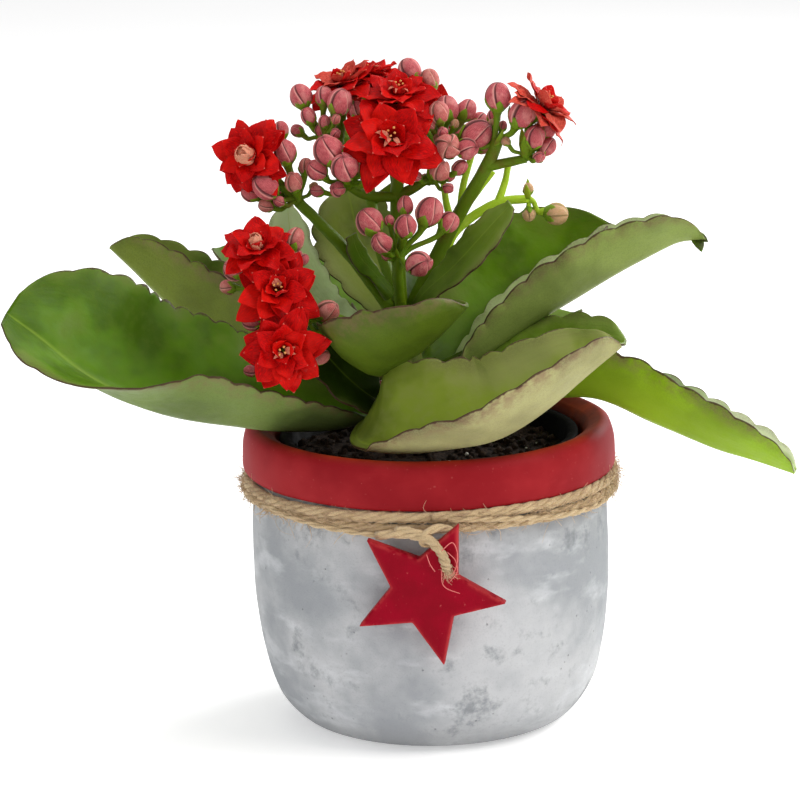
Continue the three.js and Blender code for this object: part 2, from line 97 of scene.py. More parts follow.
class Build:
    """Collects closed shells, with a UV for each face corner and named values for each point."""

    def __init__(self):
        self.points = []
        self.faces = []
        self.corners = []
        self.marks = {"under": [], "tint": [], "mark": []}

    def ring_stack(self, rings, across=None, along=None, under=None, tint=0.0, mark=None):
        """Close a stack of rings into one shell. across and along are the UVs of the columns and rows."""
        count = len(rings[0])
        across = across or spread(count)
        along = along or spread(len(rings) - 1)
        start = len(self.points)
        for row, ring in enumerate(rings):
            self.points.extend(ring)
            self.marks["under"].extend(under or [0.0] * count)
            self.marks["tint"].extend([tint] * count)
            self.marks["mark"].extend([mark[row] if mark else 0.0] * count)
        for row in range(len(rings) - 1):
            for column in range(count):
                after = (column + 1) % count
                low = start + row * count
                high = low + count
                self.faces.append((low + column, low + after, high + after, high + column))
                left, right = across[column], across[column + 1]
                self.corners.append(((left, along[row]), (right, along[row]),
                                     (right, along[row + 1]), (left, along[row + 1])))
        for row, backwards in ((0, True), (len(rings) - 1, False)):
            self.cap(start + row * count, rings[row], across, along[row], backwards)

    def cap(self, first, ring, across, along, backwards):
        count = len(ring)
        middle = sum(ring, Vector()) / count
        self.points.append(middle)
        for values in self.marks.values():
            values.append(values[first])
        hub = len(self.points) - 1
        for column in range(count):
            after = (column + 1) % count
            corner = (first + column, first + after)
            self.faces.append((hub, corner[1], corner[0]) if backwards else (hub, *corner))
            self.corners.append(((across[column], along),) * 3)

    def finish(self, name, material, slot, node=None):
        mesh = bpy.data.meshes.new(name)
        mesh.from_pydata([point * MM for point in self.points], [], self.faces)
        layer = mesh.uv_layers.new(name="UVMap")
        layer.data.foreach_set("uv", [value for face in self.corners for pair in face for value in pair])
        for key, values in self.marks.items():
            mesh.attributes.new(key, "FLOAT", "POINT").data.foreach_set("value", values)
        mesh.polygons.foreach_set("use_smooth", [True] * len(mesh.polygons))
        mesh.materials.append(material)
        mesh.update()
        piece = bpy.data.objects.new(name, mesh)
        bpy.context.collection.objects.link(piece)
        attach(piece, ROOT)
        if node:
            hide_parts(node)


def curve_point(points, u):
    """A centripetal Catmull-Rom curve, as the CAD's stalks and leaf spines are."""
    spans = len(points) - 1
    place = min(max(u, 0), 1) * spans
    span = min(int(place), spans - 1)
    t = place - span
    p1, p2 = points[span], points[span + 1]
    p0 = points[span - 1] if span > 0 else p1 + (p1 - p2)
    p3 = points[span + 2] if span + 2 <= spans else p2 + (p2 - p1)
    d0, d1, d2 = (max((b - a).length ** 0.5, 1e-4) for a, b in ((p0, p1), (p1, p2), (p2, p3)))
    m1 = ((p1 - p0) / d0 - (p2 - p0) / (d0 + d1) + (p2 - p1) / d1) * d1
    m2 = ((p2 - p1) / d1 - (p3 - p1) / (d1 + d2) + (p3 - p2) / d2) * d1
    c2 = -3 * p1 + 3 * p2 - 2 * m1 - m2
    c3 = 2 * p1 - 2 * p2 + m1 + m2
    return p1 + m1 * t + c2 * t * t + c3 * t ** 3


def curve_direction(points, u):
    step = 0.004
    return (curve_point(points, u + step) - curve_point(points, u - step)).normalized()


def vectors(points):
    return [Vector(point) for point in points]


def side_frame(direction, hint=Vector((0.31, 0.2, 1))):
    """Two directions at right angles to direction and to each other."""
    right = direction.cross(hint).normalized()
    return right, right.cross(direction).normalized()


def turned(right, up, angle):
    """The direction that is angle round from right towards up."""
    return right * math.cos(angle) + up * math.sin(angle)


def circle_point(radius, angle, height=0.0):
    return Vector((radius * math.cos(angle), radius * math.sin(angle), height))


def around(count):
    """The angles of count even steps round a circle."""
    return [TURN * i / count for i in range(count)]


def spread(count):
    """Even places from 0 to 1, both included, with count steps between them."""
    return [i / count for i in range(count + 1)]


def smooth(value):
    value = min(max(value, 0), 1)
    return value * value * (3 - 2 * value)


def wobble(point, scale, seed=0.0):
    return noise.noise(point / scale + Vector((seed, seed * 1.7, -seed)))


def add_tube(build, points, radii, sides, steps, tint=0.0, rough=0.0):
    """A round tube along a curve; radii are spread evenly from its start to its end."""
    path = vectors(points)
    rings = []
    right = None
    for u in spread(steps):
        centre = curve_point(path, u)
        direction = curve_direction(path, u)
        if right is None:
            right, up = side_frame(direction)
        right = (right - direction * right.dot(direction)).normalized()
        up = right.cross(direction).normalized()
        place = u * (len(radii) - 1)
        low = min(int(place), len(radii) - 2)
        radius = radii[low] + (radii[low + 1] - radii[low]) * (place - low)
        ring = []
        for angle in around(sides):
            outward = turned(right, up, angle)
            swell = 1 + rough * wobble(centre + outward * radius, 2.5)
            ring.append(centre + outward * radius * swell)
        rings.append(ring)
    build.ring_stack(rings, tint=tint)


# ---------------------------------------------------------------- materials

def linear(colour):
    """Blender's linear colour for an sRGB one, which has three numbers up to 255."""
    shares = [value / 255 for value in colour]
    return (*(part / 12.92 if part <= 0.04045 else ((part + 0.055) / 1.055) ** 2.4 for part in shares), 1)


def dimmed(colour, share):
    return tuple(value * share for value in colour)


class Finish:
    """A node material in short words: every method adds a node and returns its output."""

    def __init__(self, name, roughness=0.5, specular=0.5, **sockets):
        self.material = bpy.data.materials.new(name)
        self.material.use_nodes = True
        self.tree = self.material.node_tree
        self.shader = self.tree.nodes["Principled BSDF"]
        self.shader.inputs["Roughness"].default_value = roughness
        self.shader.inputs["Specular IOR Level"].default_value = specular
        for socket, value in sockets.items():
            self.shader.inputs[socket.replace("_", " ")].default_value = value
        self.position = self.node("ShaderNodeNewGeometry").outputs["Position"]

    def node(self, kind, **settings):
        made = self.tree.nodes.new(kind)
        for key, value in settings.items():
            setattr(made, key, value)
        return made

    def plug(self, value, socket):
        if isinstance(value, bpy.types.NodeSocket):
            self.tree.links.new(value, socket)
        else:
            socket.default_value = linear(value) if isinstance(value, tuple) and len(value) == 3 else value

    def mark(self, name):
        return self.node("ShaderNodeAttribute", attribute_name=name).outputs["Fac"]

    def split(self, source):
        parts = self.node("ShaderNodeSeparateXYZ")
        self.plug(source, parts.inputs[0])
        return parts.outputs

    def map(self):
        return self.node("ShaderNodeUVMap", uv_map="UVMap").outputs["UV"]

    def uv(self):
        parts = self.split(self.map())
        return parts["X"], parts["Y"]

    def stretched(self, x, y, z, source=None):
        scale = self.node("ShaderNodeMapping")
        self.plug(source or self.position, scale.inputs["Vector"])
        scale.inputs["Scale"].default_value = (x, y, z)
        return scale.outputs["Vector"]

    def along_piece(self, across, along):
        return self.stretched(across, along, 1, self.map())

    def noise(self, scale, detail, rough=0.55, vector=None):
        made = self.node("ShaderNodeTexNoise")
        self.plug(vector or self.position, made.inputs["Vector"])
        made.inputs["Scale"].default_value = scale
        made.inputs["Detail"].default_value = detail
        made.inputs["Roughness"].default_value = rough
        return made.outputs["Fac"]

    def cells(self, scale):
        made = self.node("ShaderNodeTexVoronoi")
        self.plug(self.position, made.inputs["Vector"])
        made.inputs["Scale"].default_value = scale
        return made.outputs["Distance"]

    def math(self, operation, first, second=0.0):
        made = self.node("ShaderNodeMath", operation=operation)
        self.plug(first, made.inputs[0])
        self.plug(second, made.inputs[1])
        return made.outputs[0]

    def times(self, first, second):
        return self.math("MULTIPLY", first, second)

    def plus(self, first, second):
        return self.math("ADD", first, second)

    def span(self, value, low, high, to_low=0.0, to_high=1.0):
        """Map low..high onto to_low..to_high, smoothly and clamped."""
        made = self.node("ShaderNodeMapRange", interpolation_type="SMOOTHSTEP")
        for socket, number in zip(made.inputs, (value, low, high, to_low, to_high)):
            self.plug(number, socket)
        return made.outputs["Result"]

    def mix(self, share, first, second):
        made = self.node("ShaderNodeMix", data_type="RGBA")
        for socket, value in (("Factor", share), ("A", first), ("B", second)):
            self.plug(value, made.inputs[socket])
        return made.outputs["Result"]

    def coats(self, colour, *layers):
        """Paint layers over a colour, each given as (how thick, which colour)."""
        for share, layer in layers:
            colour = self.mix(share, colour, layer)
        return colour

    def bump(self, height, strength, distance):
        made = self.node("ShaderNodeBump")
        made.inputs["Strength"].default_value = strength
        made.inputs["Distance"].default_value = distance
        self.plug(height, made.inputs["Height"])
        return made.outputs["Normal"]

    def done(self, colour, roughness=None, normal=None):
        for socket, value in (("Base Color", colour), ("Roughness", roughness), ("Normal", normal)):
            if value is not None:
                self.plug(value, self.shader.inputs[socket])
        return self.material


def leaf_finish(name, bright, dull, under, glow=0.0, rosy=0.5):
    """Waxy fleshy leaf: mottled face, paler grained back, purple-brown scalloped margin."""
    f = Finish(f"leaf_{name}", specular=0.14, Subsurface_Weight=0.08, Subsurface_Scale=0.003,
               Subsurface_Radius=(0.5, 1.0, 0.15))
    across, along = f.uv()
    out = f.math("ABSOLUTE", f.math("SUBTRACT", f.times(across, 2.0), 1.0))
    back = f.mark("under")
    broad = f.noise(48, 3)
    fine = f.noise(420, 5, 0.6)
    grain = f.noise(2600, 3, 0.7)
    dark = dimmed(bright, 0.62)
    shade = dimmed(under, 0.72)
    dullness = f.plus(f.span(out, 0.4, 0.95, 0, 0.5), f.span(along, 0.7, 0.98, 0, 0.45))
    dullness = f.plus(dullness, f.span(broad, 0.4, 0.64, -0.3, 0.3))
    # the face darkens towards the base: painted shade where the leaf lies in the middle of the plant
    face = f.coats(bright, (f.span(dullness, 0, 0.9), dull), (f.span(broad, 0.54, 0.34, 0, 0.7), dark),
                   (f.span(along, 0.42, 0.1, 0, 0.6), dark), (f.span(fine, 0.42, 0.7, 0, 0.25), dull),
                   (f.span(out, 0.0, 0.045, 0.35, 0), (150, 176, 60)))
    flush = f.times(f.span(out, 0.6, 1.0, 0, rosy), f.span(fine, 0.35, 0.65))
    # the underside is mottled and grained darker, and darkens towards the base: painted shade
    backing = f.coats(under, (f.span(grain, 0.45, 0.62, 0, 0.3), shade),
                      (f.span(broad, 0.4, 0.65, 0, 0.6), shade),
                      (f.span(along, 0.4, 0.1, 0, 0.5), shade), (flush, (128, 98, 78)))
    colour = f.mix(back, face, backing)
    if glow:
        lit = f.times(f.span(out, 0.95, 0.3), f.span(along, 0.2, 0.55))
        colour = f.mix(f.times(lit, glow), colour, (150, 180, 40))
    edge = f.plus(out, f.span(fine, 0.3, 0.7, -0.012, 0.012))
    flushed = f.times(f.span(out, 0.74, 0.97), f.span(broad, 0.4, 0.6, 0, 0.55))
    flushed = f.times(flushed, f.span(grain, 0.36, 0.6, 0.35, 1))
    margin = f.times(f.span(edge, 0.972, 0.99), f.span(along, 0.16, 0.3))
    colour = f.coats(colour, (f.times(flushed, f.span(along, 0.2, 0.4)), (92, 80, 54)),
                     (f.times(margin, 0.85), (66, 36, 32)), (f.mark("tint"), (58, 62, 26)))
    veins = f.noise(4, 2, 0.5, f.along_piece(4, 5))
    height = f.plus(f.plus(f.times(fine, 0.4), veins), f.times(grain, 0.12))
    roughness = f.plus(f.span(fine, 0.35, 0.7, 0.4, 0.54), f.times(back, 0.12))
    return f.done(colour, roughness, f.bump(height, 0.25, 0.0006))


def stalk_finish(name, green, warm, pale):
    """Fleshy stalk: green with a red-brown flush, fine lengthwise ridges and pale lenticels."""
    f = Finish(name, 0.5, 0.15, Subsurface_Weight=0.1, Subsurface_Scale=0.002)
    flush = f.span(f.noise(160, 4), 0.5, 0.8)
    ridges = f.noise(30, 3, 0.5, f.along_piece(9, 1.2))
    specks = f.times(f.span(f.cells(900), 0.12, 0.02), 0.5)
    young = f.mix(flush, (118, 150, 34), (120, 104, 50))
    colour = f.coats(green, (flush, warm), (f.span(ridges, 0.5, 0.75, 0, 0.35), pale), (specks, pale),
                     (f.mark("tint"), young))
    return f.done(colour, f.span(ridges, 0.3, 0.7, 0.38, 0.55), f.bump(ridges, 0.3, 0.0004))


def bud_finish():
    """Closed bud: four dusty-pink wrapped petals with painted shade in their seams, a painted highlight on
    each lapped edge, pleats and a greenish foot.
    """
    f = Finish("bud_petals", 0.58, 0.25, Subsurface_Weight=0.08, Subsurface_Scale=0.0015)
    across, along = f.uv()
    petal = f.math("FRACT", across)
    veins = f.noise(7, 4, 0.6, f.along_piece(12, 1.8))
    pale = f.times(f.span(f.noise(420, 3), 0.46, 0.68), 0.6)
    # seam: painted shade along the seams between the petals and in the twist at the top
    seam = f.math("MAXIMUM", f.span(petal, 0.04, 0.01), f.span(petal, 0.9, 0.98))
    seam = f.times(seam, f.span(along, 0.16, 0.36))
    seam = f.math("MAXIMUM", seam, f.times(f.span(along, 0.86, 1.0), f.span(veins, 0.6, 0.4)))
    pleat = f.times(f.span(veins, 0.44, 0.3), f.span(along, 0.45, 0.9))
    young = f.mix(f.span(veins, 0.4, 0.7), (186, 176, 104), (222, 178, 150))
    colour = f.coats((166, 56, 68), (f.span(veins, 0.35, 0.66), (220, 116, 118)),
                     (pale, (222, 146, 140)),
                     # a painted highlight on each petal's lapped edge, then painted shade in the seams
                     (f.span(petal, 0.14, 0.05, 0, 0.6), (230, 166, 156)),
                     (f.times(seam, 0.85), (74, 14, 24)), (f.times(pleat, 0.6), (118, 28, 44)),
                     (f.times(f.span(along, 0.3, 0.08), 0.6), (164, 150, 84)),
                     (f.span(along, 0.93, 1.0, 0, 0.7), (104, 30, 38)), (f.mark("tint"), young))
    height = f.math("SUBTRACT", veins, f.times(seam, 0.8))
    return f.done(colour, f.span(veins, 0.3, 0.7, 0.5, 0.64), f.bump(height, 0.5, 0.0004))


def petal_finish():
    """Open petal: saturated red face with painted shade at its base, rosier back, fine veins, a pale point
    and yellow anthers.
    """
    f = Finish("petals", 0.58, 0.1, Subsurface_Weight=0.1, Subsurface_Scale=0.0012,
               Subsurface_Radius=(1.0, 0.05, 0.03))
    _, along = f.uv()
    veins = f.noise(5, 4, 0.6, f.along_piece(16, 1.6))
    face = f.coats((158, 0, 2), (f.span(veins, 0.35, 0.7), (216, 3, 2)),
                   (f.span(f.noise(110, 2), 0.45, 0.62, 0, 0.5), (226, 22, 8)),
                   # painted shade: darker crimson towards the petal's base, in the flower's heart
                   (f.span(along, 0.5, 0.08, 0, 0.8), (104, 0, 6)))
    back = f.mix(f.span(veins, 0.4, 0.7), (190, 20, 24), (214, 74, 62))
    pale = f.mix(f.span(veins, 0.35, 0.65), (206, 104, 86), (234, 182, 148))
    anther = f.mix(f.span(veins, 0.4, 0.6), (210, 120, 60), (228, 180, 110))
    colour = f.coats(face, (f.times(f.mark("under"), 0.7), back),
                     (f.span(along, 0.965, 1.0, 0, 0.45), (232, 140, 122)),
                     (f.mark("tint"), pale), (f.mark("mark"), anther))
    return f.done(colour, f.span(veins, 0.3, 0.7, 0.5, 0.64), f.bump(veins, 0.3, 0.0003))


def pot_finish():
    """Grey cement wash with darker clouds, brush strokes and pits, and a satin red painted rim with painted
    shade on its inner slope.
    """
    f = Finish("painted_cement", 0.75, 0.12)
    clouds = f.noise(30, 4, 0.6)
    patches = f.noise(62, 6, 0.68)
    strokes = f.noise(46, 4, 0.6, f.stretched(1, 1, 2.6))
    grain = f.noise(1900, 3, 0.7)
    pits = f.times(f.span(f.cells(330), 0.13, 0.04), f.span(f.noise(90, 2), 0.5, 0.6))
    height = f.split(f.position)["Z"]
    grey = f.coats((152, 155, 159), (f.span(clouds, 0.36, 0.64), (190, 191, 193)),
                   (f.span(strokes, 0.52, 0.72, 0, 0.5), (214, 216, 219)),
                   (f.span(patches, 0.53, 0.68, 0, 0.8), (120, 124, 128)),
                   (f.span(grain, 0.5, 0.75, 0, 0.25), (128, 129, 132)), (f.times(pits, 0.55), (92, 94, 98)),
                   (f.span(height, 0.012, 0.0, 0, 0.5), (128, 128, 128)),
                   (f.span(height, 0.0645, 0.066, 0, 0.7), (222, 222, 222)))
    chips = f.times(f.span(f.noise(900, 4), 0.66, 0.72), 0.25)
    # painted shade: the rim's inner slope is coloured orange-brown for the shade it lies in
    inside = f.mix(f.span(clouds, 0.4, 0.65), (104, 30, 12), (170, 58, 14))
    red = f.coats((138, 14, 24), (f.span(f.noise(40, 4), 0.38, 0.64), (158, 30, 36)),
                  (f.span(strokes, 0.55, 0.75, 0, 0.3), (182, 52, 54)), (chips, (196, 104, 98)),
                  (f.mark("tint"), inside))
    paint = f.mark("mark")
    satin = (0.6, 0.6, 0.6, 1)
    rough = f.mix(paint, f.span(patches, 0.3, 0.7, 0.66, 0.85), satin)
    relief = f.plus(f.times(patches, 1.2), f.times(grain, 0.35))
    relief = f.math("SUBTRACT", relief, f.times(pits, 0.9))
    relief = f.times(relief, f.span(paint, 0, 1, 1, 0.35))
    return f.done(f.mix(paint, grey, red), rough, f.bump(relief, 0.5, 0.0005))


def jute_finish():
    f = Finish("jute", 0.85, 0.2, Sheen_Weight=0.3)
    streaks = f.noise(12, 5, 0.7, f.along_piece(2.5, 60))
    colour = f.coats((154, 120, 78), (f.span(streaks, 0.32, 0.66), (250, 224, 178)),
                     (f.span(f.noise(240, 4), 0.5, 0.72, 0, 0.5), (168, 130, 84)),
                     (f.mark("tint"), (236, 198, 160)))
    return f.done(colour, f.span(streaks, 0.3, 0.7, 0.75, 0.95), f.bump(streaks, 0.8, 0.0003))


def thread_finish():
    f = Finish("sewing_thread", 0.6, 0.3)
    twist = f.noise(40, 3, 0.6, f.along_piece(3, 24))
    colour = f.mix(f.span(twist, 0.35, 0.65), (206, 74, 78), (240, 150, 140))
    return f.done(colour, None, f.bump(twist, 0.4, 0.0002))


def star_finish():
    f = Finish("star_paint", 0.5, 0.06)
    cloud = f.noise(90, 5, 0.6)
    grain = f.noise(30, 4, 0.6, f.stretched(40, 40, 6))
    specks = f.times(f.span(f.noise(900, 4), 0.66, 0.74), 0.5)
    # painted highlight: lighter red in patches on the bevels and sides, where they catch the light
    side_highlight = f.times(f.mark("mark"), f.span(f.noise(420, 4), 0.34, 0.56))
    colour = f.coats((134, 0, 24), (f.span(cloud, 0.38, 0.66), (148, 0, 30)), (specks, (196, 84, 84)),
                     (f.times(side_highlight, 0.6), (186, 62, 62)))
    return f.done(colour, f.span(cloud, 0.3, 0.7, 0.32, 0.5), f.bump(grain, 0.15, 0.0003))


def peat_finish():
    f = Finish("peat", 0.95, 0.15)
    crumbs = f.noise(600, 6, 0.75)
    colour = f.coats((14, 10, 8), (f.span(crumbs, 0.35, 0.65), (58, 42, 31)),
                     (f.span(f.noise(1800, 3), 0.6, 0.72, 0, 0.6), (98, 76, 55)))
    return f.done(colour, None, f.bump(f.plus(crumbs, f.times(f.cells(700), 0.6)), 1.0, 0.0012))


def perlite_finish():
    f = Finish("perlite", 0.9, 0.3)
    grain = f.noise(1500, 4, 0.7)
    colour = f.mix(f.span(grain, 0.35, 0.65), (150, 146, 134), (206, 203, 194))
    return f.done(colour, None, f.bump(grain, 0.8, 0.0004))


def liner_finish():
    f = Finish("liner_plastic", 0.9, 0.01)
    scuffs = f.noise(220, 5, 0.65, f.stretched(1, 1, 0.25))
    dust = f.span(f.noise(60, 4), 0.5, 0.75, 0, 0.4)
    colour = f.coats((10, 10, 9), (f.span(scuffs, 0.4, 0.7), (20, 19, 18)), (dust, (54, 45, 37)))
    return f.done(colour, f.span(scuffs, 0.3, 0.7, 0.42, 0.66), f.bump(scuffs, 0.2, 0.0003))


def floor_finish():
    f = Finish("floor", 0.6, 0.2, Emission_Color=(1, 1, 1, 1), Emission_Strength=0.35)
    return f.done(f.mix(f.noise(8, 2), (246, 246, 246), (250, 250, 250)))


# ---------------------------------------------------------------- pot, liner and peat

# Profiles are (radius, height), in the order in which the pot is turned: up the outside, over the rim, in.
POT_WALL = [(31, 0), (35.4, 1.5), (39.8, 6), (42.6, 12), (44.4, 20), (45.7, 31), (46.2, 44), (46, 55),
            (45.4, 63.5)]
POT_RIM = [(45.3, 66.1), (47.2, 66.3), (48, 67.2), (48.2, 70.5), (47.9, 74.5), (46.9, 77.2), (45, 78.4),
           (43.4, 78), (41.2, 76.8)]
POT_INSIDE = [(39.9, 74.9), (39.5, 66), (39.3, 36), (37, 14), (32, 6)]
POT_FLOOR = 5
FOOT_SHIFT = 0.6
BARE_RIM_ROWS = 3           # rows of the rim's underside that the paint doesn't reach
PAINTED_INSIDE_ROWS = 6     # rows below the mouth that it does
SLOPE_SHADE_ROWS = (24, 33)   # the rows of the rim over which its red turns to the painted shade of its inner slope


def lathe(build, profile, segments, shape=None, tints=None, marks=None):
    """Turn a closed profile, listed from the foot's centre outwards and back, into a ring stack."""
    rings = []
    for radius, height in profile:
        ring = [circle_point(radius, angle, height) for angle in around(segments)]
        rings.append([shape(point) for point in ring] if shape else ring)
    first = len(build.points)
    build.ring_stack(rings, mark=marks)
    if tints:
        for row, tint in enumerate(tints):
            for i in range(segments):
                build.marks["tint"][first + row * segments + i] = tint


def fine_profile(points, steps):
    line = [Vector((radius, height, 0)) for radius, height in points]
    return [tuple(curve_point(line, u)[:2]) for u in spread(steps)]


def handmade(point):
    """Slow unevenness of a pot shaped by hand; the foot stays flat."""
    radius = math.hypot(point.x, point.y)
    outward = Vector((point.x, point.y, 0)) / max(radius, 1)
    lift = smooth(point.z / 8)
    lump = 0.55 * wobble(point, 21, 3) + 0.16 * wobble(point, 7, 9)
    low = max(0, 1 - point.z / 46)
    shift = Vector((FOOT_SHIFT * low * low, 0, 0))
    sag = Vector((0, 0, 0.35 * wobble(Vector((point.x, point.y, 0)), 26, 5))) * smooth((point.z - 60) / 12)
    return point + outward * lump * lift + shift + sag


def make_pot():
    wall = fine_profile(POT_WALL, 60)
    rim = fine_profile(POT_RIM, 40)
    inside = fine_profile(POT_INSIDE, 24)
    foot = [(radius, 0) for radius in (2, 12, 22, 29)]
    bottom = [(radius, POT_FLOOR) for radius in (29, 18, 2)]
    plain = len(foot) + len(wall)
    hidden = len(inside) + len(bottom)
    painted = len(rim) - BARE_RIM_ROWS + PAINTED_INSIDE_ROWS
    marks = [0.0] * (plain + BARE_RIM_ROWS) + [1.0] * painted + [0.0] * (hidden - PAINTED_INSIDE_ROWS)
    first, last = SLOPE_SHADE_ROWS
    tints = [smooth((row - first) / (last - first)) for row in range(len(rim))]
    build = Build()
    lathe(build, foot + wall + rim + inside + bottom, 168, handmade,
          [0.0] * plain + tints + [1.0] * hidden, marks)
    build.finish("pot_body", pot_finish(), "cement", "pot")


LINER_OUTSIDE = [(27, 6.5), (28.5, 7), (36.8, 72.5), (38.6, 73), (38.7, 74), (38.5, 75), (37.2, 75.1)]
LINER_INSIDE = [(36, 74.6), (27.7, 7.9), (20, 7.5)]


def make_liner():
    profile = [(2, 6.5), (20, 6.5)] + LINER_OUTSIDE + LINER_INSIDE + [(2, 7.5)]
    build = Build()
    lathe(build, profile, 96)
    build.finish("nursery_liner", liner_finish(), "liner_plastic", "nursery_pot")


def peat_top(x, y):
    spot = Vector((x, y, 0))
    return 70.2 + 1.1 * wobble(spot, 9, 2) + 0.6 * wobble(spot, 3.2, 6)


def add_crumb(build, centre, radius):
    """A small uneven ball."""
    seed = DICE.uniform(0, 90)
    rings = []
    for row in range(1, 6):
        slope = math.pi * row / 6
        ring = []
        for angle in around(8):
            out = circle_point(math.sin(slope), angle, -math.cos(slope))
            ring.append(centre + out * radius * (1 + 0.6 * wobble(out, 0.8, seed)))
        rings.append(ring)
    build.ring_stack(rings)


def strew(build, count, reach, lift, pick_radius):
    """Strew crumbs evenly over the peat, out to a radius of reach."""
    for _ in range(count):
        out = reach * math.sqrt(DICE.random())
        spot = circle_point(out, DICE.uniform(0, TURN))
        spot.z = peat_top(spot.x, spot.y) + lift
        add_crumb(build, spot, pick_radius())


def make_peat():
    def surface(point):
        if point.z < 65:
            return point
        return Vector((point.x, point.y, peat_top(point.x, point.y)))

    top = [(radius, 70) for radius in (34.6, 33, 31, 28.5, 26, 23, 20, 17, 14, 11, 8, 5, 2)]
    build = Build()
    lathe(build, [(2, 9), (20, 9), (26.6, 9), (30.8, 40), (34.4, 64)] + top, 90, surface)
    strew(build, 420, 34, 0.1, lambda: DICE.choice((0.5, 0.7, 0.9, 1.3)))
    build.finish("peat_mix", peat_finish(), "peat", "soil")
    white = Build()
    strew(white, 12, 33, 0.5, lambda: DICE.uniform(0.3, 0.6))
    white.finish("perlite_grains", perlite_finish(), "peat")


# ---------------------------------------------------------------- twine

TWINE_RADIUS = 1.5
TWINE_REACH = 47.3          # from the pot's axis to the middle of the twine
TWINE_TOP = 64.6
TURN_SPACING = 2.45         # from one turn down to the next
HAIRS_PER_TURN = 900
TWINE_TIP = Vector((3.5, -54.9, 54))
ROPE_STEP = 0.75

# Thin strands that have worked loose from the turns.
STRAYS = [
    [(-47, -9, 62), (-42, -24, 62.6), (-30, -38.6, 61.4), (-14, -46.8, 60.4), (-2, -49, 60.6)],
    [(4, -49.2, 64.6), (18, -46, 63.6), (31, -38.4, 62), (42, -25, 61), (48, -8, 61.6)],
]

# The knot's loop and its two ends, each with its radius.
KNOT = [
    (1.0, [(6, -48.8, 61), (2.4, -51, 63.2), (-2, -51.6, 61.8), (-2.4, -51, 59.4), (0.6, -50.6, 58.8),
           (3.4, -50, 60.2)]),
    (1.15, [(-14, -47.4, 60.6), (-6, -50, 61.2), (-1, -52.2, 60.4), (1.6, -53.8, 57.8), (2.8, -54.8, 55),
            (3.2, -55, 53.2)]),
    (0.9, [(-9, -48.8, 62.4), (-3, -51.4, 61.8), (0.8, -53, 59.6), (3, -54.6, 56.4), (3.8, -54.8, 53.8)]),
]

# The fine reddish threads that hold the star to the knot.
THREADS = [
    [(1.4, -54.6, 57.5), (4.8, -55.4, 60.5), (6, -55.6, 57), (4.6, -55.4, 52.4), (2.6, -55.2, 52)],
    [(0.4, -54.6, 53), (-0.8, -55, 55), (-1.6, -54.6, 57.4)],
    [(2, -55, 53.6), (2.2, -55.2, 50), (3.2, -55.2, 48.8), (6.4, -55, 47.4)],
    [(3.5, -55, 58), (5.4, -55.4, 56), (5.8, -55.4, 53), (4, -55.2, 50.6)],
]


def add_rope(build, path, radius, twist_pitch, plies=3):
    """Plies laid round a path (a function of 0..1 with its length), each an uneven bundle of fibre."""
    line, length = path
    rows = spread(max(8, int(length / ROPE_STEP)))
    for ply, start in enumerate(around(plies)):
        rings = []
        for u in rows:
            centre = line(u)
            direction = (line(u + 0.002) - line(u - 0.002)).normalized()
            right, up = side_frame(direction)
            angle = start + TURN * u * length / twist_pitch
            middle = centre + turned(right, up, angle) * radius * 0.46
            thick = radius * (0.6 if plies < 4 else 0.52) * (1 + 0.35 * wobble(middle, 4.5, ply + 1))
            ring = []
            for turn in around(9):
                out = turned(right, up, turn + angle)
                ring.append(middle + out * thick * (1 + 0.16 * wobble(middle + out, 0.9, ply)))
            rings.append(ring)
        build.ring_stack(rings, along=[u * length / 120 for u in rows])


def random_direction():
    return Vector([DICE.uniform(-1, 1) for _ in range(3)])


def add_fibre(build, start, direction, length, thickness):
    bend = random_direction() * 0.6
    first = direction.normalized()
    points = [start, start + first * length * 0.35, start + (first + bend * 0.5).normalized() * length * 0.7,
              start + (first + bend).normalized() * length]
    add_tube(build, points, [thickness, thickness * 0.8, thickness * 0.4], 4, 7, tint=DICE.uniform(0, 0.8))


def turn_path(height, drop, swing, seed):
    def line(u):
        level = height - drop * u + swing * math.sin(TURN * u + seed) + 0.25 * math.sin(14 * u + seed)
        reach = TWINE_REACH + 0.15 * math.sin(23 * u + seed)
        return circle_point(reach, -math.pi / 2 + TURN * u, level)
    return line, TURN * TWINE_REACH


def spline_path(points):
    path = vectors(points)
    length = sum((b - a).length for a, b in zip(path, path[1:]))
    return (lambda u: curve_point(path, u)), length


def add_hairs(build, line):
    """Loose fibres that stand off one turn of the twine; every sixth is a long one."""
    for index in range(HAIRS_PER_TURN):
        u = DICE.random()
        centre = line(u)
        outward = Vector((centre.x, centre.y, 0)).normalized()
        tangent = (line(u + 0.01) - line(u)).normalized()
        lift = Vector((0, 0, DICE.uniform(-1, 1)))
        lean = tangent * DICE.choice((-1, 1)) * DICE.uniform(0.6, 2.6) + lift * 0.8
        long = DICE.uniform(4, 8) if index % 6 == 0 else DICE.uniform(1.5, 3.4)
        start = centre + (outward * 1.1 + lift * 0.9).normalized() * 1.3
        add_fibre(build, start, outward * DICE.uniform(0.1, 0.7) + lean, long, DICE.uniform(0.05, 0.1))


def make_twine():
    build = Build()
    turns = [turn_path(TWINE_TOP, 0.3, 0.3, 0.4), turn_path(TWINE_TOP - TURN_SPACING, 0.2, -0.3, 2.1)]
    for turn in turns:
        add_rope(build, turn, TWINE_RADIUS, 17, plies=4)
    for points in STRAYS:
        add_rope(build, spline_path(points), 0.75, 9, plies=2)
    for radius, points in KNOT:
        add_rope(build, spline_path(points), radius, 8)
    for line, _ in turns:
        add_hairs(build, line)
    for _ in range(60):
        start = TWINE_TIP + random_direction() * 0.9
        down = Vector((DICE.uniform(-0.5, 0.9), DICE.uniform(-0.5, 0.2), -1))
        add_fibre(build, start, down, DICE.uniform(1.5, 3.6), 0.06)
    build.finish("jute_twine", jute_finish(), "jute", "twine")


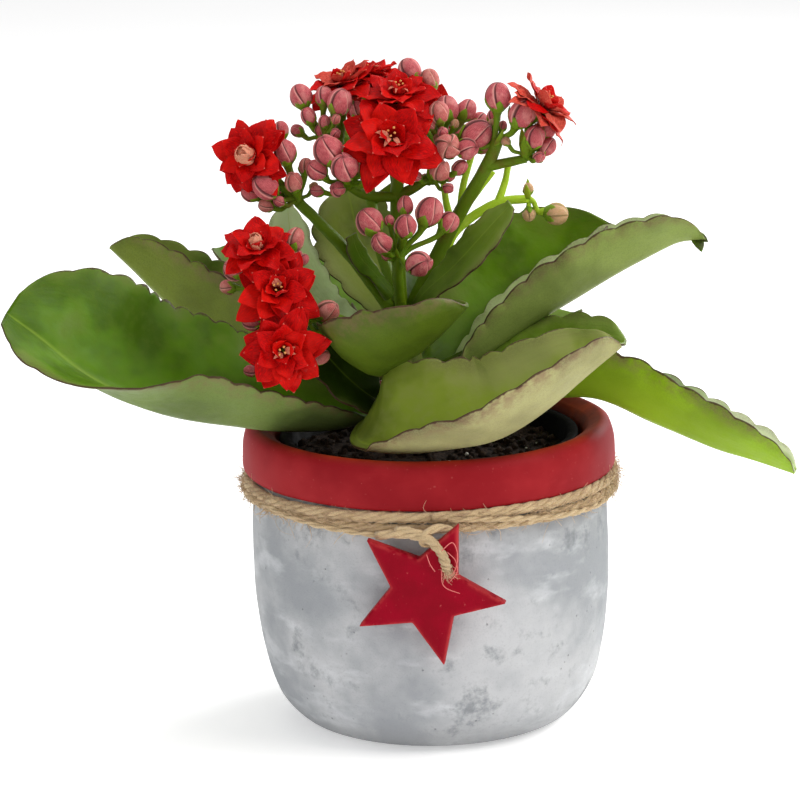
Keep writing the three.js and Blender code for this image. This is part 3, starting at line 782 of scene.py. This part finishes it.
def make_threads():
    build = Build()
    for points in THREADS:
        add_tube(build, points, [0.13, 0.12, 0.12, 0.09], 6, 22)
    build.finish("star_threads", thread_finish(), "jute")


# ---------------------------------------------------------------- star

STAR_RADIUS = 19.8
STAR_NOTCH = 9
STAR_THICKNESS = 3
STAR_CENTRE = Vector((-1.6, -48.8, 46.8))
STAR_TURN = Matrix.Rotation(-0.16, 3, "Z") @ Matrix.Rotation(0.1, 3, "X")


def star_outline(inset):
    """The star's outline pulled in by inset, with slightly rounded tips and notches."""
    corner = 0.45
    per_side = 10
    corners = []
    for point in range(10):
        radius = STAR_NOTCH - inset * 1.05 if point % 2 else STAR_RADIUS - inset * 2.4
        corners.append(circle_point(radius, math.radians(65 + 36 * point)))
    outline = []
    for i, here in enumerate(corners):
        ahead = corners[(i + 1) % 10]
        behind = corners[i - 1]
        to_ahead = (ahead - here).normalized()
        start = here + to_ahead * corner
        before = here + (behind - here).normalized() * corner
        outline.extend([before, (before + start) * 0.25 + here * 0.5, start])
        run = (ahead - here).length - 2 * corner
        outline.extend(start + to_ahead * run * step / per_side for step in range(1, per_side))
    return outline


def make_star():
    half = STAR_THICKNESS / 2
    layers = [(0.9, -half), (0.42, -half + 0.04), (0.14, -half + 0.2), (0, -half + 0.55),
              (0, half - 0.55), (0.14, half - 0.2), (0.42, half - 0.04), (0.9, half)]
    layers = [(4, -half), (2, -half)] + layers + [(2, half), (4, half)]
    marks = [0, 0, 0.1, 0.7, 1, 0.8, 0.8, 1, 0.7, 0.1, 0, 0]
    rings = []
    for inset, depth in layers:
        ring = []
        for point in star_outline(inset):
            face = Vector((point.x, -depth, point.y))
            dent = 0.06 * wobble(face, 3, 4)
            ring.append(STAR_CENTRE + Vector((0, -half, 0)) + STAR_TURN @ (face * (1 + dent / 20)))
        rings.append(ring)
    build = Build()
    build.ring_stack(rings, mark=marks)
    build.finish("hung_star", star_finish(), "red_paint", "star_tag")


# ---------------------------------------------------------------- stem, stalks, buds

STEM = [(2, 6, 58), (0, 6, 74), (-4, 5, 90), (-6, 5, 106)]

# Each stalk: its branches, then clusters as (hub, buds), a bud being (right, back, up, radius) from its hub.
STALKS = {
    "left": dict(
        radius=1.6,
        branches=[
            [(-7, 5, 103), (-20, 2, 122), (-32, -2, 136)],
            [(-32, -2, 136), (-38, -5, 143)],
        ],
        clusters=[
            ((-32, -2, 136), [(-8, -6, 5, 3.2), (-1, -5, 6, 2.4), (-3, -2, 13, 2.8), (2, 0, 9, 1.9),
                (-4, 4, 18, 2), (-8, -4, 0, 1.8), (-12, -3, 3, 2.1), (4, 0, 4, 1.1)]),
        ],
    ),
    "centre": dict(
        radius=1.7,
        branches=[
            [(-6.5, 5, 104), (-7, 4, 122), (-7, 2, 138), (-5, -1, 147)],
            [(-7, 2, 136), (-16, 0, 137.5), (-22, 0, 143), (-26, 4, 151)],
            [(-7, 2, 136), (2, 1, 142), (5, 2, 150)],
            [(-7, 2, 138), (-8, 3, 150), (-6, 4, 160)],
            [(-22, 0, 143), (-21, 5, 153), (-20, 8, 162)],
        ],
        clusters=[
            ((-26, 4, 151), [(-5, 2, 11, 2.9), (1, 0, 11, 2.3), (5, -3, 10, 3.2), (-3, -1, 6, 2),
                (1, -3, 5, 1.5), (-6, 2, 2, 1.6)]),
            ((-19, -2, 140), [(-5, -6, 10, 3.6), (-1, -8, 6, 3.4), (-8, -5, 5, 2.6), (5, -4, 7, 2.3),
                (5, -4, 2, 1.9), (-3, -5, 0, 2), (-8, -2, -1, 1.5)]),
            ((5, 2, 150), [(-8, 8, 17, 3.1), (-3, 6, 15, 2.5), (1, 3, 8, 3.2), (-1, -3, 8, 2.7),
                (6, 5, 7, 2.5), (9, 6, 4, 2.2), (8, -2, 2, 3.6), (1, -7, 0, 3.3), (6, -5, -1, 2.8),
                (10, 1, -2, 1.6)]),
            ((2, 1, 140), [(2, -6, 4, 2.7), (7, -3, 4, 1.9), (4, -4, -1, 1.4)]),
        ],
    ),
    "right": dict(
        radius=1.8,
        bracts=8,
        branches=[
            [(-5, 6, 104), (7, 3, 128), (17, -1, 146), (19, -1, 151)],
            [(16, -1, 144), (26, -2, 146)],
        ],
        clusters=[
            ((18, -1, 149), [(1, -1, 13, 3.4), (7, -4, 9, 3.5), (0, 4, 7, 1.8)]),
            ((26, -2, 146), [(2, -4, 6, 2.7), (5, 0, 8, 2.8), (5, -1, 3, 2.2), (3, -4, 1, 1.5)]),
        ],
    ),
    "front": dict(
        radius=1.4,
        branches=[
            [(-6.5, 4, 106), (-7, -4, 113), (-7, -8, 120), (-6, -8, 126)],
        ],
        clusters=[
            ((-7, -8, 122), [(-7, -2, 10, 3.4), (-4, -5, 5, 2.6), (-2, -1, 10, 1.3), (2, 2, 13, 2.1),
                (2, -4, 9, 2.8), (8, -1, 12, 3.4), (13, 1, 9, 2.6), (5, -7, 0, 3.2)]),
        ],
    ),
    "low_left": dict(
        radius=1.3,
        branches=[
            [(-7, 4, 96), (-20, -10, 106), (-32, -18, 114), (-38, -18, 121)],
            [(-32, -18, 114), (-33, -22, 106), (-34, -25, 100)],
        ],
        clusters=[
            ((-38, -18, 121), [(5, 1, 8, 2.6), (-10, 1, 1, 2.8), (-12, 3, -4, 1.9), (7, 1, 3, 1.5)]),
            ((-32, -20, 110), [(7, -3, 2, 2.8), (8, -4, -3, 2.2), (-12, 0, -1, 2.3)]),
            ((-34, -25, 100), [(7, -1, 1, 2), (-10, -2, -2, 1.7)]),
        ],
    ),
    "shoots": dict(
        radius=1,
        branches=[
            [(-3, 8, 104), (4, 11, 116), (8, 12, 125), (19, 13, 132), (27, 13, 133)],
            [(8, 12, 125), (11, 14, 131), (18, 15, 140)],
            [(19, 13, 132), (21, 15, 137), (22, 15, 142)],
            [(8, 12, 125), (6, 13, 131), (5, 13, 138)],
            [(9, 12, 127), (10, 13, 136), (13, 14, 146)],
        ],
        clusters=[
            ((27, 13, 133), [(7, -1, -4, 2.8), (0, -1, -4, 1.7), (0, 2, 2, 1.4)]),
        ],
    ),
    "rear": dict(
        radius=1.5,
        branches=[
            [(-6, 6, 105), (-12, 16, 122), (-14, 22, 138), (-12, 22, 150)],
            [(-13, 20, 132), (-2, 22, 140), (3, 20, 146)],
        ],
        clusters=[
            ((-14, 22, 142), [(-8, 4, 8, 3), (-4, 8, 4, 2.6), (-9, 0, 1, 2.2), (4, 7, 9, 3),
                (10, 4, 7, 2.4), (-3, 3, 13, 2)]),
            ((3, 20, 146), [(5, 4, 1, 3), (7, 0, 3, 2.2), (-5, 4, 11, 2.4)]),
        ],
    ),
}

# Share of one wrapped petal's width, and the bud's radius there: each petal's edge laps the next.
LAPS = [(0.0, 0.82), (0.025, 1.04), (0.1, 1.08), (0.22, 1.06), (0.38, 1.03), (0.55, 1.0), (0.72, 0.96),
        (0.86, 0.91), (0.97, 0.84)]
BUD_ROWS = 17


def add_bud(build, foot, direction, radius, young):
    """A bud of four petals wrapped in a slow spiral. foot is where it leaves its pedicel."""
    right, up = side_frame(direction)
    twist = DICE.uniform(0.5, 1.0)
    start = DICE.uniform(0, TURN)
    stretch = DICE.uniform(1.02, 1.2)
    seed = DICE.uniform(0, 60)
    rings = []
    rows = [(row + 0.3) / (BUD_ROWS - 0.6) for row in range(BUD_ROWS)]
    for t in rows:
        polar = math.pi * t
        level = (1 - math.cos(polar)) * radius * stretch
        round_part = math.sin(polar) ** 0.8 * (1.05 - 0.3 * t ** 3)
        pinch = 0.5 + 0.5 * smooth(t / 0.3) + 0.8 * smooth((t - 0.6) / 0.35)
        ring = []
        for petal in range(4):
            for share, lap in LAPS:
                angle = start + (petal + share) * math.pi / 2 + twist * t
                outward = turned(right, up, angle)
                uneven = 1 + 0.07 * wobble(outward + direction * t, 0.7, seed)
                reach = radius * 0.97 * round_part * (1 + (lap - 1) * pinch) * uneven
                ring.append(foot + direction * level + outward * reach)
        rings.append(ring)
    across = [petal + share for petal in range(4) for share, _ in LAPS] + [4.0]
    build.ring_stack(rings, across, rows, tint=young)


def add_sepal(build, base, outward, direction, length, width, curve=0.5, tint=1.0):
    """A small pointed green lobe that hugs what it holds."""
    side = outward.cross(direction).normalized()
    rings = []
    rows = [0, 0.2, 0.45, 0.7, 0.88, 1]
    for t in rows:
        half = width * math.sin(math.pi * (0.22 + 0.76 * t)) * 0.5
        out = math.sin(t * 1.7) * curve * length * 0.5
        centre = base + direction * t * length + outward * out
        ring = []
        for angle in around(8):
            across = math.cos(angle)
            ring.append(centre + side * half * across
                        + outward * (0.22 * math.sin(angle) * (1 - 0.5 * t) - 0.25 * half * across * across))
        rings.append(ring)
    build.ring_stack(rings, along=rows, tint=tint)


def add_calyx(build, foot, direction, radius):
    right, up = side_frame(direction)
    for lobe in range(4):
        angle = math.pi / 4 + lobe * math.pi / 2 + DICE.uniform(-0.2, 0.2)
        outward = turned(right, up, angle)
        base = foot + outward * radius * 0.28 - direction * radius * 0.2
        add_sepal(build, base, outward, direction, radius * DICE.uniform(1.0, 1.25), radius * 0.95, 1.25)


def bud_axis(hub, centre, radius):
    """The way a bud looks: away from its hub, drawn upwards, and its foot behind it."""
    direction = ((centre - hub).normalized() + Vector((0, 0, 0.35))).normalized()
    return direction, centre - direction * radius * 1.02


def add_pedicel(build, hub, foot, direction, radius, tint):
    reach = (foot - hub).length
    low = hub + (foot - hub) * 0.3 + Vector((0, 0, 0.04 * reach))
    high = foot - direction * min(2.4, reach * 0.35)
    slim = 0.42 + 0.12 * radius
    radii = [slim * 1.25, slim, slim * 0.9, slim * 1.05, min(1.5, radius * 0.5)]
    add_tube(build, [hub, low, high, foot], radii, 9, 12, tint=tint, rough=0.12)


def add_bracts(build, hub, along, size):
    right, up = side_frame(along)
    for side in (0, 1):
        angle = DICE.uniform(0, 1) + side * math.pi
        outward = turned(right, up, angle)
        lean = (along + outward * 0.5).normalized()
        add_sepal(build, hub + outward * 0.9, outward, lean, size, size * 0.34, 0.5, 0.7)


def small_buds():
    """Four more little buds near a hub, each (right, back, up, radius) within these ends."""
    ends = ((-6, 6), (-6, 4), (0, 6), (1, 1.7))
    return [tuple(DICE.uniform(*pair) for pair in ends) for _ in range(4)]


def make_stalk(name, plan, finishes):
    green = Build()
    pink = Build()
    pale = name == "shoots"
    for index, points in enumerate(plan["branches"]):
        thick = plan["radius"] * (0.72 if index else 1) * (1.3 if pale else 1)
        add_tube(green, points, [thick * 1.12, thick, thick * 0.94, thick * 0.86], 14, 30, rough=0.1)
    for hub, buds in plan["clusters"]:
        hub = Vector(hub)
        add_bracts(green, hub, Vector((0, 0, 1)), DICE.uniform(0.7, 1.1) * plan.get("bracts", 5))
        for right, back, rise, radius in buds + ([] if pale else small_buds()):
            centre = hub + Vector((right, back, rise))
            direction, foot = bud_axis(hub, centre, radius)
            add_pedicel(green, hub, foot, direction, radius, 0.35)
            add_calyx(green, foot, direction, radius)
            young = 0.7 if pale else (0.5 if radius < 1.2 else DICE.choice((0, 0, 0, 0.12)))
            add_bud(pink, foot, direction, radius, young)
    for flower in FLOWERS.values():
        if flower["stalk"] == name:
            add_flower_stem(green, flower)
    slot = "shoot_green" if pale else "stalk_green"
    green.finish(f"stalk_{name}_green", finishes["shoot" if pale else "stalk"], slot, f"stalk_{name}")
    pink.finish(f"buds_{name}", finishes["bud"], "bud_pink", f"stalk_{name}")


# ---------------------------------------------------------------- flowers

# at: the middle; faces: the way it looks; stalk and stem: what it grows on, and from where; rosy: how much
# paler some of its petals are; heart: the radius of the pale bud in a half-open one.
FLOWERS = {
    "crown": dict(at=(-13, 16, 166), faces=(-0.1, 0.1, 1), radius=8, stalk="centre", stem=(-6, 4, 158)),
    "crown_left": dict(at=(-20, 9, 165), faces=(-0.3, -0.2, 1), radius=10, stalk="centre",
        stem=(-20, 8, 161), rosy=0.2),
    "crown_middle": dict(at=(-6, 2, 163), faces=(0.1, -0.45, 1), radius=10.5, stalk="centre",
        stem=(-6.5, 4, 157)),
    "centre": dict(at=(-8, -8, 153), faces=(0.05, -0.85, 0.6), radius=12.5, stalk="centre",
        stem=(-6, 0, 146)),
    "left": dict(at=(-44, -7, 149), faces=(-0.35, -0.75, 0.3), radius=10, stalk="left", stem=(-37, -5, 142),
        heart=3),
    "low_top": dict(at=(-42, -23, 129), faces=(-0.1, -0.6, 0.8), radius=9.5, stalk="low_left",
        stem=(-38, -18, 121), heart=2.2),
    "low_middle": dict(at=(-37, -29, 119), faces=(0, -0.8, 0.5), radius=10.5, stalk="low_left",
        stem=(-33, -18, 114)),
    "low_bottom": dict(at=(-36, -35, 105), faces=(-0.05, -0.95, 0.15), radius=10.5, stalk="low_left",
        stem=(-33, -23, 103)),
    "right": dict(at=(31, -4, 160), faces=(0.63, -0.15, 0.77), radius=9.5, stalk="right",
        stem=(26, -2, 147), rosy=0.25),
    "rear": dict(at=(-13, 30, 159), faces=(0, 0.8, 0.6), radius=10.5, stalk="rear", stem=(-12, 22, 149)),
    "rear_right": dict(at=(4, 30, 153), faces=(0.4, 0.7, 0.4), radius=9, stalk="rear", stem=(3, 20, 146)),
}

# Whorls from outside in: petals, length share, width share, lean at base and tip (degrees above flat), rise.
WHORLS = [
    (8, 1.0, 0.7, 14, -16, -0.14),
    (7, 0.92, 0.68, 27, 2, -0.06),
    (6, 0.72, 0.58, 44, 26, 0.0),
    (4, 0.46, 0.42, 62, 72, 0.05),
]
PETAL_SIDES = 16


def add_petal(build, centre, out, up, length, width, lean, tip_lean, tint):
    """A broad pointed petal that starts at centre, curves from lean to tip_lean and buckles a little."""
    side = up.cross(out).normalized()
    here = Vector(centre)
    turn_by = DICE.uniform(-0.5, 0.5)
    seed = DICE.uniform(0, 80)
    rows = [0, 0.07, 0.16, 0.27, 0.38, 0.49, 0.6, 0.7, 0.79, 0.87, 0.93, 0.97, 1]
    rings = []
    before = 0
    for t in rows:
        direction = turned(out, up, math.radians(lean + (tip_lean - lean) * t))
        here = here + direction * length * (t - before)
        before = t
        flat = Matrix.Rotation(turn_by * t, 3, direction) @ side
        normal = flat.cross(direction).normalized()
        taper = max(0.03, 1 - max(0, (t - 0.46) / 0.54) ** 2)
        half = width * 0.5 * (0.32 + 0.68 * smooth(t / 0.46)) * taper
        ring = []
        for angle in around(PETAL_SIDES):
            across = -math.cos(angle)
            cup = 0.3 * half * across * across * (1 - 0.7 * t)
            spot = here + flat * half * across - normal * (cup + 0.13 * math.sin(angle))
            buckle = 0.17 * width * smooth(t / 0.4) * wobble(spot, 0.26 * width + 0.6, seed)
            ring.append(spot + normal * buckle)
        rings.append(ring)
    under = [1.0 if i > PETAL_SIDES / 2 else 0.0 for i in range(PETAL_SIDES)]
    build.ring_stack(rings, along=rows, under=under, tint=tint)


def flower_frame(plan):
    centre = Vector(plan["at"])
    up = Vector(plan["faces"]).normalized()
    right, forward = side_frame(up, Vector((0.2, 1, 0.1)))
    return centre, up, right, forward


def add_heart(build, centre, up, right, forward, size):
    """Curled pale petals and a few anthers in the middle of a flower."""
    for _ in range(4):
        out = turned(right, forward, DICE.uniform(0, TURN))
        base = centre + up * size * 0.05 + out * size * 0.07
        add_petal(build, base, out, up, size * DICE.uniform(0.26, 0.38), size * 0.1, 95, -30, 0.7)
    for angle in around(4):
        out = turned(right, forward, angle)
        top = centre + up * size * 0.26 + out * size * DICE.uniform(0.05, 0.13)
        first = len(build.points)
        add_crumb(build, top, 0.3)
        for index in range(first, len(build.points)):
            build.marks["mark"][index] = 1.0


def make_flower(name, plan, finish):
    centre, up, right, forward = flower_frame(plan)
    size = plan["radius"]
    rosy = plan.get("rosy", 0.0)
    heart = plan.get("heart", 0)
    build = Build()
    for whorl, (count, reach, width, lean, tip_lean, rise) in enumerate(WHORLS):
        for petal in range(count):
            angle = TURN * (petal + 0.5 * (whorl % 2)) / count + DICE.uniform(-0.22, 0.22)
            out = turned(right, forward, angle)
            base = centre + up * size * (rise - 0.12) + out * size * 0.06
            length = size * reach * DICE.uniform(0.86, 1.06) * 1.08
            tint = rosy if DICE.random() < 0.5 else 0.0
            add_petal(build, base, out, up, length, size * width * DICE.uniform(0.9, 1.1),
                      lean + DICE.uniform(-10, 10), tip_lean + DICE.uniform(-22, 18), tint)
    if heart:
        add_bud(build, centre - up * size * 0.1, (up + right * 0.1).normalized(), heart * 0.85, 1.0)
        for petal in range(6):
            angle = math.pi * petal / 3 + DICE.uniform(-0.2, 0.2)
            out = turned(right, forward, angle)
            length = heart * DICE.uniform(1.9, 2.3)
            add_petal(build, centre + out * heart * 0.35, out, up, length, heart * 1.15,
                      62, DICE.uniform(104, 124), 1.0)
    else:
        add_heart(build, centre, up, right, forward, size)
    build.finish(f"petals_{name}", finish, "petal_red", f"flower_{name}")


def add_flower_stem(build, plan):
    """The pedicel and calyx behind an open flower."""
    centre, up, right, forward = flower_frame(plan)
    size = plan["radius"]
    foot = centre - up * size * 0.5
    hub = Vector(plan["stem"])
    high = foot - up * min(2.5, 0.4 * (foot - hub).length)
    route = [hub, (hub + high) * 0.5, high, foot, centre - up * size * 0.2]
    add_tube(build, route, [0.85, 0.75, 0.75, 1.1, 1.6], 10, 16, tint=0.35)
    for lobe in range(4):
        angle = lobe * math.pi / 2 + 0.5
        outward = turned(right, forward, angle)
        lean = (up + outward * 0.7).normalized()
        add_sepal(build, foot + outward * 0.8, outward, lean, size * 0.36, size * 0.2)


# ---------------------------------------------------------------- leaves

# spine: petiole to tip; halves, fold and lobe: [left, right] seen towards the tip; up and tip_up: where
# the face looks at the base and at the tip; open: how far the fold flattens towards the tip;
# lobe: how far the blade's base reaches back; starts: where the two half blades begin; blunt: how square
# the tip is; curl: degrees by which the margin turns up; hook: how far the very tip curls down; withered:
# the dry bits at the tip, each (direction, size).
LEAVES = {
    "big_left": dict(spine=[(-5, 0, 84), (-22, -8, 79), (-48, -19, 82), (-77, -27, 92), (-105, -30, 115)],
        halves=(24, 33), fold=(42, 50), up=(0.1, 0, 1), tip_up=(0.25, -0.5, 0.85), open=0.6, blunt=3.4,
        finish="fresh"),
    "front": dict(spine=[(-5, 0, 84), (-17, -14, 80), (-16, -31, 79), (16, -41, 83), (48, -36, 105)],
        halves=(26, 22), fold=(46, 36), up=(-0.3, 0, 1), lobe=(18, 0), starts=(0.14, 0.5), curl=14,
        finish="pale"),
    "drooping_right": dict(spine=[(1, 3, 82), (20, -1, 83), (42, -8, 85), (67, -20, 76.5), (92, -28, 69)],
        halves=(14, 22), fold=(50, 52), up=(0.2, 0, 1), open=0.3, blunt=2.6, curl=12, finish="lit"),
    "upper_right": dict(spine=[(-2, 4, 90), (10, 7, 91), (28, 11, 101), (52, 15, 114), (72, 18, 123)],
        halves=(17, 18), fold=(37, 58), up=(-0.2, 0, 1), open=0.3, hook=3, blunt=3.6,
        withered=[((0.15, -0.2, -1), 5), ((0.7, -0.2, -0.6), 3.6)], finish="silver"),
    "big_back": dict(spine=[(-4, 8, 90), (10, 13, 91), (26, 22, 97), (40, 30, 109), (50, 34, 122)],
        halves=(30, 18), fold=(58, 24), up=(-0.4, 0, 1), starts=(0.02, 0.06), finish="mid"),
    "right_back": dict(spine=[(0, 4, 86), (15, 3, 88), (31, 1, 92), (51, -4, 98)], halves=(15, 12),
        fold=(46, 28), up=(-0.1, 0, 1), finish="deep"),
    "upper_left": dict(spine=[(-6, 7, 90), (-22, 11, 86), (-44, 18, 91), (-65, 24, 103), (-83, 28, 120)],
        halves=(20, 20), fold=(70, 52), up=(0.2, 0, 1), open=0.1, finish="olive"),
    "centre_front": dict(spine=[(-5, 0, 94), (-12, -15, 94), (-11, -26, 97), (-1, -31, 104),
        (10, -32, 115)], halves=(12, 25), fold=(40, 34), up=(0, 0, 1), open=0.2, lobe=(0, 9), curl=48,
        finish="cup"),
    "centre_right": dict(spine=[(-4, 4, 103), (-1, 1, 110), (7, -2, 118), (15, -4, 127), (22, -6, 135)],
        halves=(5, 7), fold=(16, 16), up=(-0.3, -0.7, 0.6), finish="deep"),
    "centre_left": dict(spine=[(-5, -1, 84), (-12, -6, 84), (-19, -10, 90), (-27, -12, 99),
        (-32, -12, 107)], halves=(12, 12), fold=(20, 20), up=(0.3, -0.6, 0.7), finish="shade"),
    "pale_left": dict(spine=[(-8, 8, 98), (-17, 14, 100), (-27, 20, 104), (-34, 25, 115), (-36, 28, 130)],
        halves=(9, 7), fold=(14, 14), up=(0.2, -1, 0.4), finish="bluish"),
    "upright_back": dict(spine=[(-8, 10, 98), (-11, 20, 104), (-15, 28, 114), (-18, 33, 123),
        (-20, 35, 133)], halves=(13, 12), fold=(16, 16), up=(0, -1, 0.3), finish="far"),
    "bract": dict(spine=[(-9, 2, 110), (-13, 1, 116), (-17, 0, 121), (-19, -1, 127)], halves=(3, 3),
        fold=(14, 14), up=(0.4, -0.8, 0.4), finish="mid"),
    "rear_left": dict(spine=[(-6, 8, 93), (-20, 26, 94), (-38, 44, 101), (-56, 58, 113)], halves=(18, 18),
        fold=(26, 26), up=(0.2, -0.2, 1), finish="mid"),
    "rear_middle": dict(spine=[(-4, 9, 90), (-4, 28, 90), (-2, 48, 95), (0, 66, 106)], halves=(20, 20),
        fold=(28, 28), up=(0, -0.2, 1), starts=(0.03, 0.03), finish="shade"),
    "rear_right": dict(spine=[(-1, 8, 84), (14, 24, 82), (28, 40, 86), (40, 53, 94)], halves=(16, 16),
        fold=(26, 26), up=(-0.2, -0.2, 1), finish="fresh"),
    "low_rear_left": dict(spine=[(-3, 6, 84), (-22, 18, 80), (-42, 32, 84), (-58, 42, 92)], halves=(15, 15),
        fold=(24, 24), up=(0.2, -0.2, 1), finish="deep"),
}

PALE_LEAVES = ("pale_left", "bract", "drooping_right")
PLAIN_STARTS = (0.14, 0.14)
PLAIN_BLUNT = 2.2
WIDEST = 0.6
LEAF_ROWS = 180
LEAF_COLUMNS = 44
SCALLOP_SPACING = 6.6
SCALLOP_DEPTH = 1.5
PETIOLE_HALF_WIDTH = 1.8


def blade_share(u, start, blunt):
    """Share of the full half width along the spine, the CAD's own curve unless the tip is blunter."""
    along = max(0, (u - start) / (1 - start))
    if along < WIDEST:
        return math.sin((math.pi / 2) * (along / WIDEST)) ** 0.9
    return math.sqrt(max(0, 1 - ((along - WIDEST) / (1 - WIDEST)) ** blunt))


def scallop(u, length, side):
    """How far the margin is cut in: round teeth from a quarter of the way along, leaning to the tip."""
    phase = u * length / SCALLOP_SPACING + (0.4 if side > 0 else 0.0)
    part = phase - math.floor(phase)
    tooth = math.sin(math.pi * part ** 1.2) ** 0.75
    return SCALLOP_DEPTH * (1 - tooth) * smooth((u - 0.24) / 0.12) * (1 - 0.3 * smooth((u - 0.85) / 0.15))


def half_section(share, fold, curl):
    """Sideways and upward travel out to a share of the half width: flat at the rib, then folded up."""
    sideways = 0.0
    upward = 0.0
    pieces = 8
    for step in range(pieces):
        place = share * (step + 0.5) / pieces
        angle = fold * smooth(place / 0.16) + curl * place * place
        sideways += math.cos(angle) * share / pieces
        upward += math.sin(angle) * share / pieces
    end = fold * smooth(share / 0.16) + curl * share * share
    return sideways, upward, end


def make_leaf(name, plan, finishes):
    path = vectors(plan["spine"])
    length = sum((b - a).length for a, b in zip(path, path[1:]))
    base_up = Vector(plan["up"])
    tip_up = Vector(plan.get("tip_up", plan["up"]))
    seed = 7.3 * list(LEAVES).index(name)
    curl = math.radians(plan.get("curl", 8))
    starts = plan.get("starts", PLAIN_STARTS)
    rows = [0.02 + 0.975 * place for place in spread(LEAF_ROWS)]
    rings = []
    for u in rows:
        late = smooth((u - 0.6) / 0.4)
        centre = curve_point(path, u)
        along = curve_direction(path, u)
        right = along.cross(base_up.lerp(tip_up, late)).normalized()
        normal = right.cross(along).normalized()
        centre = centre - normal * plan.get("hook", 0) * max(0, (u - 0.9) / 0.1) ** 2
        thickness = 2.9 - 1.5 * smooth((u - 0.05) / 0.25) - 0.4 * smooth((u - 0.7) / 0.3)
        ring = []
        for turn in around(LEAF_COLUMNS):
            across = -math.cos(turn)
            side = 1 if across > 0 else -1
            half = 1 if side > 0 else 0
            share = abs(across)
            full = plan["halves"][half] * blade_share(u, starts[half], plan.get("blunt", PLAIN_BLUNT))
            full -= share ** 3 * min(scallop(u, length, side), full * 0.12)
            width = max(full, PETIOLE_HALF_WIDTH)
            fold = math.radians(plan["fold"][half] * (1 - plan.get("open", 0) * late)) * smooth(width / 8)
            sideways, upward, end = half_section(share, fold, curl * smooth(width / 8))
            spot = centre + right * side * sideways * width + normal * upward * width
            ripple = smooth(width / 12) * (0.5 + 0.9 * share) * wobble(spot, 14, seed)
            ripple += 0.35 * share * smooth(width / 12) * wobble(spot, 5, seed)
            local = normal * math.cos(end) - right * side * math.sin(end)
            swell = 0.5 * thickness * math.copysign(abs(math.sin(turn)) ** 0.55, math.sin(turn))
            lobe = plan.get("lobe", (0, 0))[half] * max(0, 1 - u / 0.7)
            ring.append(spot + local * (swell + ripple) - along * lobe * share ** 2)
        rings.append(ring)
    across = [0.5 - 0.5 * math.cos(turn) for turn in around(LEAF_COLUMNS) + [TURN]]
    under = [1.0 if i > LEAF_COLUMNS / 2 else 0.0 for i in range(LEAF_COLUMNS)]
    build = Build()
    build.ring_stack(rings, across, rows, under=under)
    dry_foot = curve_point(path, 1) - Vector((1.5, 0, 1))
    for direction, size in plan.get("withered", []):
        way = Vector(direction).normalized()
        add_sepal(build, dry_foot, Vector((0.3, -0.9, 0.2)), way, size, size * 0.7, 0.9)
    slot = "pale_leaf" if name in PALE_LEAVES else "leaf_green"
    build.finish(f"blade_{name}", finishes[plan["finish"]], slot, f"leaf_{name}")


# ---------------------------------------------------------------- the whole object

def make_floor():
    half = 4.0
    mesh = bpy.data.meshes.new("floor")
    corners = [(-half, -half, 0), (half, -half, 0), (half, half, 0), (-half, half, 0)]
    mesh.from_pydata(corners, [], [(0, 1, 2, 3)])
    mesh.materials.append(floor_finish())
    floor = bpy.data.objects.new("floor", mesh)
    bpy.context.collection.objects.link(floor)


# The face's bright and dull colours and the underside's; glow: how much light shines through the face;
# rosy: how much of the underside's margin is flushed.
LEAF_COLOURS = {
    "fresh": dict(bright=(90, 132, 0), dull=(100, 122, 40), under=(112, 132, 66)),
    "mid": dict(bright=(88, 124, 0), dull=(98, 120, 34), under=(112, 132, 62)),
    "deep": dict(bright=(104, 132, 34), dull=(122, 140, 62), under=(104, 122, 46)),
    # painted light: far is paler than the leaf's own green, to make up for the shade it lies in
    "far": dict(bright=(138, 154, 66), dull=(150, 160, 92), under=(110, 128, 60)),
    # painted light: bluish is pale for the light that falls on the leaf from behind
    "bluish": dict(bright=(184, 206, 142), dull=(190, 206, 156), under=(140, 156, 104)),
    "shade": dict(bright=(52, 76, 12), dull=(68, 88, 26), under=(76, 94, 34)),
    "olive": dict(bright=(96, 118, 24), dull=(112, 124, 46), under=(108, 122, 40)),
    "cup": dict(bright=(66, 86, 6), dull=(88, 100, 34), under=(84, 104, 20)),
    "pale": dict(bright=(128, 146, 44), dull=(138, 144, 78), under=(168, 164, 112), rosy=0.8),
    "silver": dict(bright=(158, 178, 110), dull=(170, 184, 130), under=(136, 152, 76)),
    "lit": dict(bright=(150, 168, 110), dull=(196, 202, 168), under=(134, 168, 24), glow=0.5),
}


def make_stem():
    stem = Build()
    add_tube(stem, STEM, [4.2, 3.7, 3.4, 3.0], 18, 40, rough=0.16)
    skin = stalk_finish("stem_skin", (84, 98, 40), (96, 74, 44), (136, 132, 84))
    stem.finish("main_stem", skin, "stem_green", "stem")


def main():
    make_camera()
    make_studio()
    make_floor()
    make_pot()
    make_liner()
    make_peat()
    make_twine()
    make_threads()
    make_star()
    make_stem()
    stalk_finishes = {
        "stalk": stalk_finish("stalk_skin", (92, 120, 10), (96, 80, 24), (130, 152, 50)),
        "shoot": stalk_finish("shoot_skin", (168, 204, 40), (188, 214, 80), (220, 232, 130)),
        "bud": bud_finish(),
    }
    for name, plan in STALKS.items():
        make_stalk(name, plan, stalk_finishes)
    petals = petal_finish()
    for name, plan in FLOWERS.items():
        make_flower(name, plan, petals)
    leaf_finishes = {name: leaf_finish(name, **colours) for name, colours in LEAF_COLOURS.items()}
    for name, plan in LEAVES.items():
        make_leaf(name, plan, leaf_finishes)


main()
